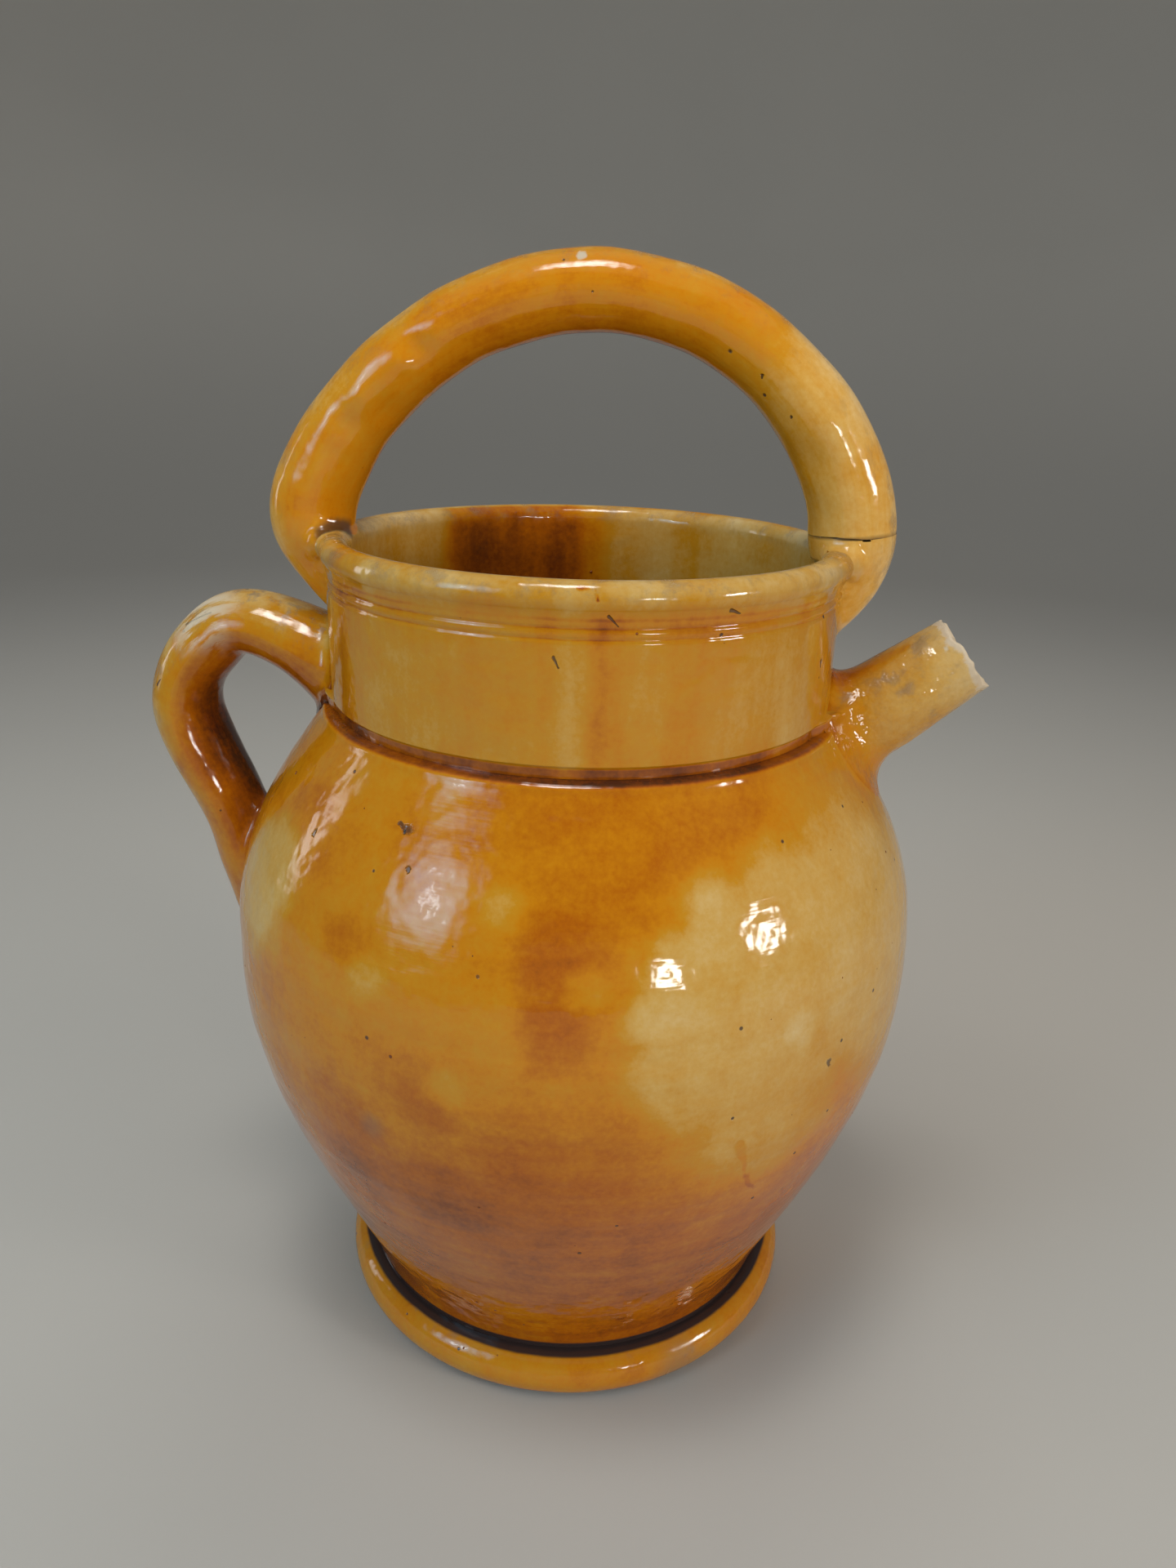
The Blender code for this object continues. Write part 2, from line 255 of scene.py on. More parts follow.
def blend(mask, below, above):
    """The colour above laid over the colour below where the mask is 1."""
    settings = {"data_type": "RGBA", "clamp_factor": True}
    colours = {6: below, 7: above}
    for key, colour in colours.items():
        if not isinstance(colour, Ink):
            colours[key] = (*colour, 1)
    return mask.node("ShaderNodeMix", settings, {0: mask, **colours}, 2)


def from_axis(place):
    """Distance from the jug's upright axis."""
    return vector_sum("LENGTH", vector_sum("MULTIPLY", place, (1, 1, 0)), (0, 0, 0), 1)


def painted(place, name):
    """A number stored on the mesh's points."""
    return place.node("ShaderNodeAttribute", {"attribute_name": name}, {}, 2)


print("a dab at the front of the shoulder sits at", on_body(0, 150))

# %% [markdown]
# ## The glaze
#
# Lead glaze over a pale slip is see-through, like syrup. Where it lies thin the buff clay shows; where
# it has run together it is amber, and in grooves it is nearly black. So the whole jug has one colour
# ramp, and every stroke below only makes the glaze deeper or thinner. The surface is glass, with long
# ripples and a little orange peel that break up its reflections. A separate clear coat would stay flat
# over the ripples, so the gloss is that of the shader's own surface.

# %% The glaze mixer
GLAZE_STOPS = [
    (0.00, (0.55, 0.38, 0.16)),
    (0.20, (0.50, 0.29, 0.070)),
    (0.40, (0.455, 0.200, 0.010)),
    (0.55, (0.46, 0.162, 0.003)),
    (0.72, (0.35, 0.088, 0.002)),
    (0.88, (0.18, 0.040, 0.004)),
    (1.00, (0.06, 0.018, 0.008)),
]
RAW_CLAY = (0.52, 0.41, 0.28)
GRIME = (0.17, 0.12, 0.08)
# Dark pooled glaze for pinholes, pits and nicks; it also paints shade in the foot's groove and by the left
# foot of the handle.
POOL_AND_SHADE = (0.032, 0.020, 0.018)
FINE_SCALE = 700.0
SMUDGE_SCALE = 85.0
DULL_SCALE = 60.0
RIPPLE_SCALE = 70.0
DIMPLE_SCALE = 230.0
PEEL_SCALE = 620.0
FRAY_SCALE = 420.0


def start_glaze(name):
    """A new material and the ink of its Object coordinates."""
    material = bpy.data.materials.new(name)
    material.use_nodes = True
    tree = material.node_tree
    place = tree.nodes.new("ShaderNodeTexCoord").outputs["Object"]
    return material, Ink(tree, place)


def wander(place, scale, reach_mm):
    """The same place pushed about by noise, so that what is painted on it has uneven edges."""
    colour = place.node("ShaderNodeTexNoise", {}, {"Vector": place, "Scale": scale, "Detail": 3.0}, 1)
    centred = vector_sum("SUBTRACT", colour, (0.5, 0.5, 0.5))
    return vector_sum("ADD", place, vector_sum("MULTIPLY", centred, (reach_mm * MM * 2,) * 3))


def frayed(place, reach_mm):
    """The place for chips and pits, whose edges are finely ragged."""
    return wander(place, FRAY_SCALE, reach_mm)


def pinholes(place, scale, size, share):
    """Small round spots: a share of the cells of a Voronoi pattern gets one of that size."""
    sockets = {"Vector": place, "Scale": scale}
    far = place.node("ShaderNodeTexVoronoi", {}, sockets, 0)
    cell = place.node("ShaderNodeTexVoronoi", {}, sockets, 1)
    chance = place.node("ShaderNodeSeparateColor", {}, {0: cell}, 0)
    return soft_step(far, size, size * 0.6) * soft_step(chance, share + 0.01, share - 0.01)


def finish_glaze(material, place, depth, relief_mm=0.0, grime=0.0, raw=0.0, pool=0.0, painted_light_tint=None):
    """Turns the depth of the glaze into colour, gloss and ripples."""
    specks = pinholes(place, 130.0, 0.07, 0.30)
    fine = noise(place, FINE_SCALE, 3.0, 0.65) - 0.5
    smudge = noise(place, SMUDGE_SCALE, 5.0, 0.62) - 0.5
    depth = depth + 0.24 * fine + 0.36 * smudge
    colour = depth.node("ShaderNodeValToRGB", {"stops": GLAZE_STOPS}, {0: depth})
    # The tint lifts the colour: painted light on the basket handle.
    if painted_light_tint:
        settings = {"data_type": "RGBA", "blend_type": "MULTIPLY"}
        colour = colour.node("ShaderNodeMix", settings, {0: 1.0, 6: colour, 7: (*painted_light_tint, 1)}, 2)
    # Pits, pinholes and pooled glaze take the dark colour, and so does painted shade in the foot's groove
    # and at the handle's left foot.
    for mask, tone in ((grime, GRIME), (pool + specks * 0.85, POOL_AND_SHADE), (raw, RAW_CLAY)):
        if isinstance(mask, Ink):
            colour = blend(mask, colour, tone)
    dull = noise(place, DULL_SCALE, 4.0)
    ripple = noise(place, RIPPLE_SCALE, 2.0)
    dimple = noise(place, DIMPLE_SCALE, 1.0)
    peel = noise(place, PEEL_SCALE, 1.0)
    height = 0.32 * ripple + 0.22 * dimple + 0.018 * peel + relief_mm - 0.12 * specks
    bump = place.node("ShaderNodeBump", {}, {"Strength": 1.0, "Distance": MM, "Height": height})
    shader = material.node_tree.nodes["Principled BSDF"]
    links = material.node_tree.links
    links.new(colour.socket, shader.inputs["Base Color"])
    links.new((0.04 + 0.10 * dull + 0.45 * grime + 0.6 * raw).socket, shader.inputs["Roughness"])
    links.new(bump.socket, shader.inputs["Normal"])
    shader.inputs["IOR"].default_value = 1.5
    return material


print("glaze stops:", len(GLAZE_STOPS))

# %% [markdown]
# ## The belly's glaze
#
# On the shoulder the glaze has run together in an amber tongue that slants down across the front. To its
# right the slip shows through as a wide buff patch. Pale round spots mark where bubbles burst, and
# towards the foot it grows browner, partly from the glaze and partly as painted shade under the swell,
# with fine lines left by the turning tool. Painting each of these as a dab of depth on a wandering place
# keeps their edges soft and uneven, as melted glass is.

# %% Mix the belly's glaze
AMBER_DABS = [
    (-8, 161, 11), (4, 161, 15), (16, 161, 15), (27, 162, 12), (36, 164, 8), (8, 151, 15), (15, 153, 10),
    (4, 142, 12), (3, 134, 10), (2, 127, 8.5), (2, 120, 6.5),
    (-37, 149, 9), (-25, 154, 9), (-50, 152, 8), (-30, 135, 6),
    (150, 150, 30), (205, 120, 26), (100, 158, 18), (250, 150, 20),
]
BUFF_DABS = [
    (42, 136, 22), (55, 130, 30), (31, 125, 17), (21, 112, 14), (33, 100, 20), (78, 112, 36),
    (27, 142, 10), (20, 135, 9), (18, 127, 9),
    (-56, 133, 15), (230, 100, 34), (170, 95, 24),
]
BROWN_DABS = [
    (2, 138, 8), (2, 127, 7), (-2, 92, 14), (-16, 102, 9), (-13, 80, 12), (-32, 80, 12),
    (120, 80, 24), (200, 75, 26),
]
PALE_SPOTS = [(-26.4, 128.0), (-6.7, 146.4), (5.5, 132.2), (-12.9, 108.3), (38, 118), (160, 130)]
GLAZE_RUN = [
    ((41.5, -75.4, 93.2), (44.5, -71.0, 82.0), 1.3), ((44.5, -71.0, 82.0), (46.2, -67.4, 74.0), 1.0),
]
BELLY_PITS = [
    ((-53.7, -52.8, 149.5), (-53.5, -53.0, 149.0), 0.8), ((61.0, -61.8, 105.9), (61.2, -61.8, 104.9), 0.8),
    ((-29.3, -69.2, 149.7), (-29.2, -69.3, 149.4), 0.6), ((57.6, -27.6, 164.0), (58.0, -27.5, 163.4), 0.5),
    ((-30.2, -63.6, 156.2), (-32.4, -62.3, 156.9), 1.15),
    ((-31.0, -63.6, 155.6), (-31.6, -63.3, 155.4), 0.8),
]
SPOUT_CORNER = (SHOULDER_RADIUS, 0, SHOULDER_HEIGHT)
# Below the swell the belly is painted darker: browner glaze and painted shade.
BROWNING_AND_SHADE = (140 * MM, 45 * MM)
LIP_BAND = (SHOULDER_HEIGHT - 1.0 * MM, SHOULDER_HEIGHT - 0.3 * MM)
FOOT_SEAM = (FOOT_HEIGHT + 2.2 * MM, FOOT_HEIGHT + 1.3 * MM)
OUTER_STEM = (STEM_RADIUS - 3.0 * MM, STEM_RADIUS - 1.5 * MM)
BELLY_UNDERSIDE = (1.2 * MM, 0.3 * MM)


def dabs(place, spots, edge=0.5):
    """Dabs that flow into one another; each spot is degrees round, height and radius in millimetres."""
    total = None
    for degrees, height, radius in spots:
        one = dab(place, on_body(degrees, height), radius, edge)
        total = one.sum("MAXIMUM", one, total) if total else one
    return total


def clear_of_spout(place):
    """1 round most of the groove, 0 where the spout is luted across it."""
    return 1 - dab(place, SPOUT_CORNER, 20.0, 0.6)


def belly_glaze():
    material, place = start_glaze("belly_glaze_honey")
    wavy = wander(wander(place, 42.0, 6.0), 150.0, 3.0)
    loose = wander(place, 120.0, 2.0)
    height = along_axis(place, 2)
    amber = dabs(wavy, AMBER_DABS, 0.6)
    buff = dabs(wavy, BUFF_DABS, 0.36)
    brown = dabs(wavy, BROWN_DABS, 1.0)
    spots = dabs(loose, [(degrees, up, 4.2) for degrees, up in PALE_SPOTS], 0.6)
    # Darker towards the foot: partly browner glaze, partly painted shade under the swell.
    low = soft_step(height, *BROWNING_AND_SHADE)
    cloud = noise(place, 22.0, 3.0) - 0.5
    turning = noise(place, 260.0, 3.0, 0.6, (0.06, 0.06, 1.0)) - 0.5
    depth = 0.50 + 0.22 * cloud + 0.11 * amber - 0.30 * buff + 0.13 * brown - 0.17 * spots
    depth = depth + 0.22 * low + turning * (0.12 + 0.10 * low) + 0.16 * strokes(loose, GLAZE_RUN)
    depth = depth + 0.36 * soft_step(height, *LIP_BAND) * clear_of_spout(place)
    depth = depth + 0.35 * painted(place, "crease")
    pits = strokes(frayed(place, 1.1), BELLY_PITS)
    # Pits, and a dark band at the foot ring: pooled glaze with painted shade in the groove.
    pool = 0.75 * pits + soft_step(height, *FOOT_SEAM) * soft_step(from_axis(place), *OUTER_STEM)
    underside = soft_step(height, *BELLY_UNDERSIDE)
    grime = 0.35 * dab(loose, on_body(-25.4, 92.6), 3.0, 0.7)
    return finish_glaze(material, place, depth, 0.10 * turning - 0.3 * pits, grime, underside, pool)


BELLY_GLAZE = belly_glaze()
print("belly glaze:", len(BELLY_GLAZE.node_tree.nodes), "nodes")

# %% [markdown]
# ## The wheel
#
# Belly, collar and foot ring are all turned: one outline swept round an axis. A Screw modifier could do
# that, but real throwing also leaves shallow finger rings that never quite close. So the wheel is a
# Geometry Nodes tree. It lays out a grid, reads the outline point for each row, turns each column to its
# angle and lets noise press the fingers in. An outline runs up the outside, over the top and down the
# inside, and the Y of each outline point says how strongly fingers show there.

# %% Build the wheel
WELD = 0.002 * MM


class Wheel:
    """Small helper that adds Geometry Nodes and links them."""

    def __init__(self, name, inputs):
        self.tree = bpy.data.node_groups.new(name, "GeometryNodeTree")
        face = self.tree.interface
        self.ids = {}
        for label, kind in [("Geometry", "NodeSocketGeometry")] + inputs:
            self.ids[label] = face.new_socket(label, in_out="INPUT", socket_type=kind).identifier
        face.new_socket("Geometry", in_out="OUTPUT", socket_type="NodeSocketGeometry")
        self.given = self.tree.nodes.new("NodeGroupInput").outputs

    def node(self, kind, settings=None, sockets=None, output=0):
        return add_node(self.tree, kind, settings, sockets).outputs[output]

    def sum(self, operation, first, second=0.0):
        return self.node("ShaderNodeMath", {"operation": operation}, {0: first, 1: second})

    def finish(self, geometry):
        """Ends the tree in smooth faces, real meshes and the given material."""
        smooth = self.node("GeometryNodeSetShadeSmooth", {}, {0: geometry})
        real = self.node("GeometryNodeRealizeInstances", {}, {0: smooth})
        glazed = self.node("GeometryNodeSetMaterial", {}, {0: real, 2: self.given["Material"]})
        self.tree.links.new(glazed, self.tree.nodes.new("NodeGroupOutput").inputs[0])


def build_wheel():
    sizes = [("Wheel Steps", "NodeSocketInt"), ("Outline Points", "NodeSocketInt")]
    sizes += [("Finger Depth", "NodeSocketFloat"), ("Finger Rings", "NodeSocketFloat")]
    wheel = Wheel("potters_wheel", sizes + [("Material", "NodeSocketMaterial")])
    given = wheel.given
    columns = wheel.sum("ADD", given["Wheel Steps"], 1)
    sockets = {"Vertices X": columns, "Vertices Y": given["Outline Points"]}
    grid = wheel.node("GeometryNodeMeshGrid", {}, sockets)
    index = wheel.node("GeometryNodeInputIndex")
    row = wheel.sum("MODULO", index, given["Outline Points"])
    column = wheel.sum("FLOOR", wheel.sum("DIVIDE", wheel.sum("ADD", index, 0.5), given["Outline Points"]))
    angle = wheel.sum("DIVIDE", wheel.sum("MULTIPLY", column, math.tau), given["Wheel Steps"])
    spot = wheel.node("GeometryNodeInputPosition")
    outline = {"data_type": "FLOAT_VECTOR", "domain": "POINT"}
    point = wheel.node("GeometryNodeSampleIndex", outline, {0: given["Geometry"], 1: spot, 2: row})
    radius, fingers, height = add_node(wheel.tree, "ShaderNodeSeparateXYZ", {}, {0: point}).outputs
    across = [wheel.sum("MULTIPLY", radius, wheel.sum(turn, angle)) for turn in ("COSINE", "SINE")]
    rings = wheel.sum("MULTIPLY", height, given["Finger Rings"])
    sample = wheel.node("ShaderNodeCombineXYZ", {}, {0: across[0], 1: across[1], 2: rings})
    press = wheel.node("ShaderNodeTexNoise", {}, {"Vector": sample, "Scale": 9.0, "Detail": 2.0})
    push = wheel.sum("MULTIPLY", wheel.sum("SUBTRACT", press, 0.5), given["Finger Depth"])
    full = wheel.sum("ADD", radius, wheel.sum("MULTIPLY", push, fingers))
    turned = [wheel.sum("MULTIPLY", full, wheel.sum(turn, angle)) for turn in ("COSINE", "SINE")]
    place = wheel.node("ShaderNodeCombineXYZ", {}, {0: turned[0], 1: turned[1], 2: height})
    shaped = wheel.node("GeometryNodeSetPosition", {}, {0: grid, 2: place})
    wheel.finish(wheel.node("GeometryNodeMergeByDistance", {}, {0: shaped, "Distance": WELD}))
    return wheel


potters_wheel = build_wheel()
print("wheel:", len(potters_wheel.tree.nodes), "nodes, inputs", list(potters_wheel.ids))

# %% Run a tree and keep its mesh
def put(name, data):
    """A new object at the origin, linked to the scene."""
    made = bpy.data.objects.new(name, data)
    bpy.context.scene.collection.objects.link(made)
    return made


def run_tree(name, mesh, maker, settings):
    """The plain mesh that a tree makes from another one, with its inputs set by identifier."""
    source = put(name, mesh)
    modifier = source.modifiers.new(name, "NODES")
    modifier.node_group = maker.tree
    for label, value in settings.items():
        modifier[maker.ids[label]] = value
    made = bpy.data.meshes.new_from_object(source.evaluated_get(bpy.context.evaluated_depsgraph_get()))
    made.name = name
    bpy.data.objects.remove(source)
    return made


def throw(name, outline, glaze, steps, finger_depth, finger_rings):
    """Turns an outline of (radius, finger strength, height) points on the wheel."""
    mesh = bpy.data.meshes.new(name + "_outline")
    mesh.from_pydata([tuple(point) for point in outline], [], [])
    settings = {"Wheel Steps": steps, "Outline Points": len(outline), "Finger Depth": finger_depth}
    settings.update({"Finger Rings": finger_rings, "Material": glaze})
    return run_tree(name, mesh, potters_wheel, settings)


def dress(name, mesh, node):
    """Links a finished skin at the origin and lets it stand for its solid."""
    piece = put(name, mesh)
    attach(piece, "root")
    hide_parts(node)
    print(name, "stands for", node, "with", sum(len(p.vertices) - 2 for p in mesh.polygons), "triangles")


def spaced(start, end, count):
    """Evenly spaced values without the last one, so that stretches can be strung together."""
    return np.linspace(start, end, count, endpoint=False)


print("four spaced values leave out their end:", spaced(0, 1, 4))

# %% [markdown]
# ## The belly
#
# The belly is one wall on a flat floor. Its outline starts under the foot, where the wire cut it from the
# wheel and left it slightly hollow, and rises to a soft lip at the groove. It could be a subdivided
# cage, but then the window reflections would show every corner of the cage; a dense turned skin doesn't.

# %% Throw the belly
WHEEL_STEPS = 300
LIP_ROUND = 1.8 * MM
LIP_DROP = 3.0 * MM
FOOT_HOLLOW = 0.8 * MM
FOOT_EDGE = 1.2 * MM
FLOOR_ROUND = 6.0 * MM
GRIP_REACH = 20.0 * MM
BELLY_FINGERS = (0.9 * MM, 7.0)


def climb(values, start, reach):
    """0 up to the start, rising evenly to 1 within the reach."""
    return np.clip((values - start) / reach, 0, 1)


def strung(*stretches):
    """Joins stretches of (radius, finger strength, height) points into one outline."""
    rows = []
    for radius, fingers, height in stretches:
        radius, fingers, height = np.broadcast_arrays(radius, fingers, height)
        rows.append(np.stack([radius, fingers, height], axis=-1).reshape(-1, 3))
    return np.concatenate(rows)


def belly_outline():
    turn = spaced(0, np.pi / 2, 6)
    flat = STEM_RADIUS - FOOT_EDGE
    rise = spaced(FOOT_EDGE, SHOULDER_HEIGHT - LIP_ROUND, 190)
    lip_radius = float(belly_radius(SHOULDER_HEIGHT - LIP_ROUND))
    grip = climb(rise, FOOT_HEIGHT, GRIP_REACH)
    fall = spaced(SHOULDER_HEIGHT, FLOOR_THICKNESS + FLOOR_ROUND, 70)
    inner = np.minimum(belly_radius(fall) - BELLY_WALL, BELLY_RADIUS)
    corner = float(inner[-1]) - FLOOR_ROUND
    return strung(
        (spaced(0, flat * 0.8, 8), 0, FOOT_HOLLOW),
        (spaced(flat * 0.8, flat, 4), 0, spaced(FOOT_HOLLOW, 0, 4)),
        (flat + FOOT_EDGE * np.sin(turn), 0, FOOT_EDGE * (1 - np.cos(turn))),
        (belly_radius(rise), grip, rise),
        (lip_radius - LIP_DROP * (1 - np.cos(turn)), 0, SHOULDER_HEIGHT - LIP_ROUND * (1 - np.sin(turn))),
        (spaced(lip_radius - LIP_DROP, float(inner[0]), 4), 0, SHOULDER_HEIGHT),
        (inner, 0.8, fall),
        (corner + FLOOR_ROUND * np.cos(turn), 0, FLOOR_THICKNESS + FLOOR_ROUND * (1 - np.sin(turn))),
        (np.linspace(corner, 0, 12), 0, FLOOR_THICKNESS),
    )


belly_mesh = throw("thrown_belly", belly_outline(), BELLY_GLAZE, WHEEL_STEPS, *BELLY_FINGERS)
dress("thrown_belly", belly_mesh, "belly")

# %% [markdown]
# ## The collar
#
# The collar is a straight thrown band with a rolled rim and two fine lines scored under it. It is luted
# on at a groove where brown glaze has gathered. Its glaze hangs in faint upright streaks, amber and pale
# by turns, and the rim is rubbed bare of its colour. Inside, the glaze is painted paler to stand in for
# light, and darker brown at the back as painted shade.

# %% Mix the collar's glaze
DRIPS = [
    (7.3, 0.09, 3.0), (0.6, -0.07, 4.0), (-54, 0.10, 9.0), (49, -0.10, 12.0), (24, 0.05, 5.0),
    (-24, -0.05, 8.0),
]
RIM_CHIP = [((3.6, -62.3, 207.6), (7.0, -62.0, 207.4), 0.9), ((6.8, -62.4, 207.3), (7.2, -62.6, 205.2), 0.8)]
NICKS = [
    ((-1.2, -61.5, 193.4), (-0.2, -61.5, 191.3), 0.30), ((9.2, -61.1, 201.8), (11.1, -60.4, 199.8), 0.30),
    ((55.2, -26.8, 186.4), (55.2, -26.8, 185.2), 0.55), ((33.0, -52.3, 202.2), (34.8, -51.0, 201.4), 0.45),
    ((46.0, -41.5, 199.0), (46.4, -41.0, 198.6), 0.35), ((-12.0, -60.4, 203.0), (-9.0, -60.9, 203.2), 0.25),
]
FOOT_CRACK = ((-61.2, -10.6, 212.0), (-58.6, -8.6, 210.0))
# Where the rim meets the right foot of the handle: a grey smudge with painted shade.
RIGHT_FOOT_SMUDGE_AND_SHADE = millimetres(57.0, -16.0, 208.0)
RIM_PATCH = on_body(63, 205, 2 * MM)
INSIDE_EDGE = (58.5 * MM, 57.5 * MM)
GROOVE_BAND = (SHOULDER_HEIGHT + 2.6 * MM, SHOULDER_HEIGHT + 1.7 * MM)
CROWN_BAND = (RIM_HEIGHT - 6.0 * MM, RIM_HEIGHT - 1.0 * MM)
FINE_LINES = [(7.4, 0.6), (9.2, 0.4), (11.4, 0.3)]
GATHERED = (RIM_HEIGHT - 9.0 * MM, 4.2 * MM)
LINES_END = (74, 56)


def foot_shadow(place):
    """Pooled glaze with painted shade, and a small crack, where the left foot of the handle meets the rim.
    """
    crack = stroke(frayed(place, 0.4), *FOOT_CRACK, 0.3)
    return 0.8 * soft_step(painted(place, "pool"), 0.10, 0.75) + 0.9 * crack


def bearing(place):
    """Degrees round from the front, towards the spout."""
    return place.sum("ARCTAN2", along_axis(place, 0), 0.0 - along_axis(place, 1)) * math.degrees(1)


def stripe(value, middle, half):
    """1 at the middle, falling smoothly to 0 at half the width on both sides."""
    off = value - middle
    return soft_step(off.sum("ABSOLUTE", off, 0.0), half, half * 0.1)


def interior_shade(place):
    """Painted shade inside, at the back: a clear edge on the left, a soft one on the right."""
    loose = wander(place, 60.0, 3.0)
    back = place.sum("ARCTAN2", along_axis(loose, 0), along_axis(loose, 1)) * math.degrees(1)
    return soft_step(back, -52, -42) * soft_step(back, 14, -14)


def collar_glaze():
    material, place = start_glaze("collar_glaze_ochre")
    loose = wander(place, 90.0, 1.6)
    height = along_axis(place, 2)
    inside = soft_step(from_axis(place), *INSIDE_EDGE)
    outside = 1.0 - inside
    round_from_front = bearing(loose)
    depth = 0.43 + 0.20 * (noise(place, 30.0, 3.0) - 0.5)
    depth = depth + 0.46 * (noise(place, 130.0, 3.0, 0.5, (1, 1, 0.12)) - 0.5)
    for middle, strength, half in DRIPS:
        depth = depth + stripe(round_from_front, middle, half) * outside * strength
    up = along_axis(wander(place, 160.0, 0.35), 2)
    groove = soft_step(up, *GROOVE_BAND) * outside * clear_of_spout(place)
    lines = 0.0
    for below, half in FINE_LINES:
        lines = stripe(up, RIM_HEIGHT - below * MM, half * MM) + lines
    scored = outside * soft_step(round_from_front.sum("ABSOLUTE", round_from_front, 0.0), *LINES_END)
    lines = lines * scored * soft_step(noise(place, 40.0, 2.0), 0.20, 0.65)
    gathered = stripe(up, *GATHERED) * scored * soft_step(noise(place, 34.0, 3.0), 0.36, 0.62)
    # Inside, the glaze is painted paler to stand in for light reaching into the mouth, and darker at the
    # back as painted shade.
    depth = depth + 0.36 * groove + 0.17 * lines + 0.16 * gathered - 0.14 * inside
    depth = depth + 0.55 * interior_shade(place) * inside
    crown = soft_step(height, *CROWN_BAND)
    rubbed = crown * soft_step(noise(place, 55.0, 4.0, 0.6), 0.36, 0.64)
    depth = depth - 0.08 * crown - 0.18 * rubbed - 0.22 * dab(loose, RIM_PATCH, 8.0, 0.5)
    chip = strokes(frayed(place, 0.7), RIM_CHIP)
    nicks = strokes(frayed(place, 0.4), NICKS)
    # A grey smudge with painted shade by the right foot of the handle.
    smear = dab(loose, RIGHT_FOOT_SMUDGE_AND_SHADE, 7.0, 0.6) * soft_step(noise(place, 190.0, 3.0), 0.30, 0.55)
    grime = 0.48 * crown * soft_step(noise(place, 130.0, 6.0, 0.75), 0.47, 0.66) + 0.35 * smear
    depth = depth + 0.50 * chip + 0.35 * painted(place, "crease")
    pool = 0.8 * nicks + foot_shadow(place)
    return finish_glaze(material, place, depth, -0.30 * nicks, grime, 0.0, pool)


print("collar glaze:", len(NICKS), "nicks,", len(DRIPS), "drips")

# %% Throw the collar
GROOVE_DEPTH = 0.9 * MM
GROOVE_FLAT = 2.2 * MM
GROOVE_EDGE = 0.9 * MM
SEAM_OVERLAP = 0.3 * MM
SCORE_WIDTH = 0.45 * MM
RIM_UNDERCUT = 0.8 * MM
RIM_TUCK = math.radians(40)
COLLAR_FINGERS = (0.7 * MM, 9.0)
SCORED = [(RIM_HEIGHT - 9.2 * MM, 0.35 * MM), (RIM_HEIGHT - 11.4 * MM, 0.28 * MM)]


def collar_outline():
    bottom = SHOULDER_HEIGHT - SEAM_OVERLAP
    lift = spaced(0, np.pi / 2, 8)
    start = NECK_RADIUS - GROOVE_DEPTH
    wall = spaced(bottom + GROOVE_FLAT + GROOVE_EDGE, RIM_HEIGHT - RIM_DEPTH - RIM_UNDERCUT, 120)
    scored = sum(depth * np.exp(-((wall - at) / SCORE_WIDTH) ** 2) for at, depth in SCORED)
    roll = spaced(-RIM_TUCK, np.pi, 40)
    drop = spaced(RIM_CENTRE, bottom, 60)
    return strung(
        (start, 0, spaced(bottom, bottom + GROOVE_FLAT, 6)),
        (start + GROOVE_DEPTH * (1 - np.cos(lift)), 0, bottom + GROOVE_FLAT + GROOVE_EDGE * np.sin(lift)),
        (NECK_RADIUS - scored, 0.6, wall),
        (RIM_MIDDLE + RIM_HALF * np.cos(roll), 0.3, RIM_CENTRE + RIM_DEPTH / 2 * np.sin(roll)),
        (NECK_INSIDE, 0.6, drop),
        (np.linspace(NECK_INSIDE, start, 6), 0, bottom),
    )


collar_mesh = throw("thrown_collar", collar_outline(), collar_glaze(), WHEEL_STEPS, *COLLAR_FINGERS)
dress("thrown_collar", collar_mesh, "neck_collar")

# %% [markdown]
# ## The foot ring
#
# A coil of clay was rolled round the stem and smoothed to a half round. Its glaze is bright and orange on
# the bulge. The groove above it is nearly black, pooled glaze with painted shade, and the bottom of the
# ring is painted red-brown as painted shade. It is the same wheel with a round outline.

# %% Roll the foot ring
RING_ROWS = 44
RING_FINGERS = (0.8 * MM, 3.0)
RING_GROOVE = (STEM_RADIUS + 3.1 * MM, STEM_RADIUS + 2.3 * MM)
RING_SMEAR = millimetres(34, -53, 4)
RING_UNDERSIDE = (0.9 * MM, 0.2 * MM)
# The bottom of the ring, painted red-brown as painted shade on its underside.
RING_BOTTOM_SHADE = (3.6 * MM, 0.6 * MM)


def foot_glaze():
    material, place = start_glaze("foot_glaze_orange")
    loose = wander(place, 110.0, 1.5)
    height = along_axis(place, 2)
    depth = 0.50 + 0.26 * (noise(place, 45.0, 3.0) - 0.5)
    depth = depth + 0.16 * (noise(place, 240.0, 2.0, 0.5, (0.15, 0.15, 1)) - 0.5)
    up = along_axis(loose, 2)
    # Painted shade: the bottom of the ring is made darker.
    depth = depth + 0.40 * soft_step(up, *RING_BOTTOM_SHADE)
    # The groove above the ring: pooled glaze with painted shade.
    groove = soft_step(from_axis(wander(place, 90.0, 0.3)), *RING_GROOVE)
    pool = groove * soft_step(height, FOOT_HEIGHT * 0.55, FOOT_HEIGHT * 0.7)
    smear = dab(loose, RING_SMEAR, 6.0, 0.7)
    raw = soft_step(height, *RING_UNDERSIDE)
    grime = 0.45 * smear + 0.4 * soft_step(noise(place, 130.0, 4.0), 0.62, 0.75)
    return finish_glaze(material, place, depth, 0.0, grime, raw, pool)


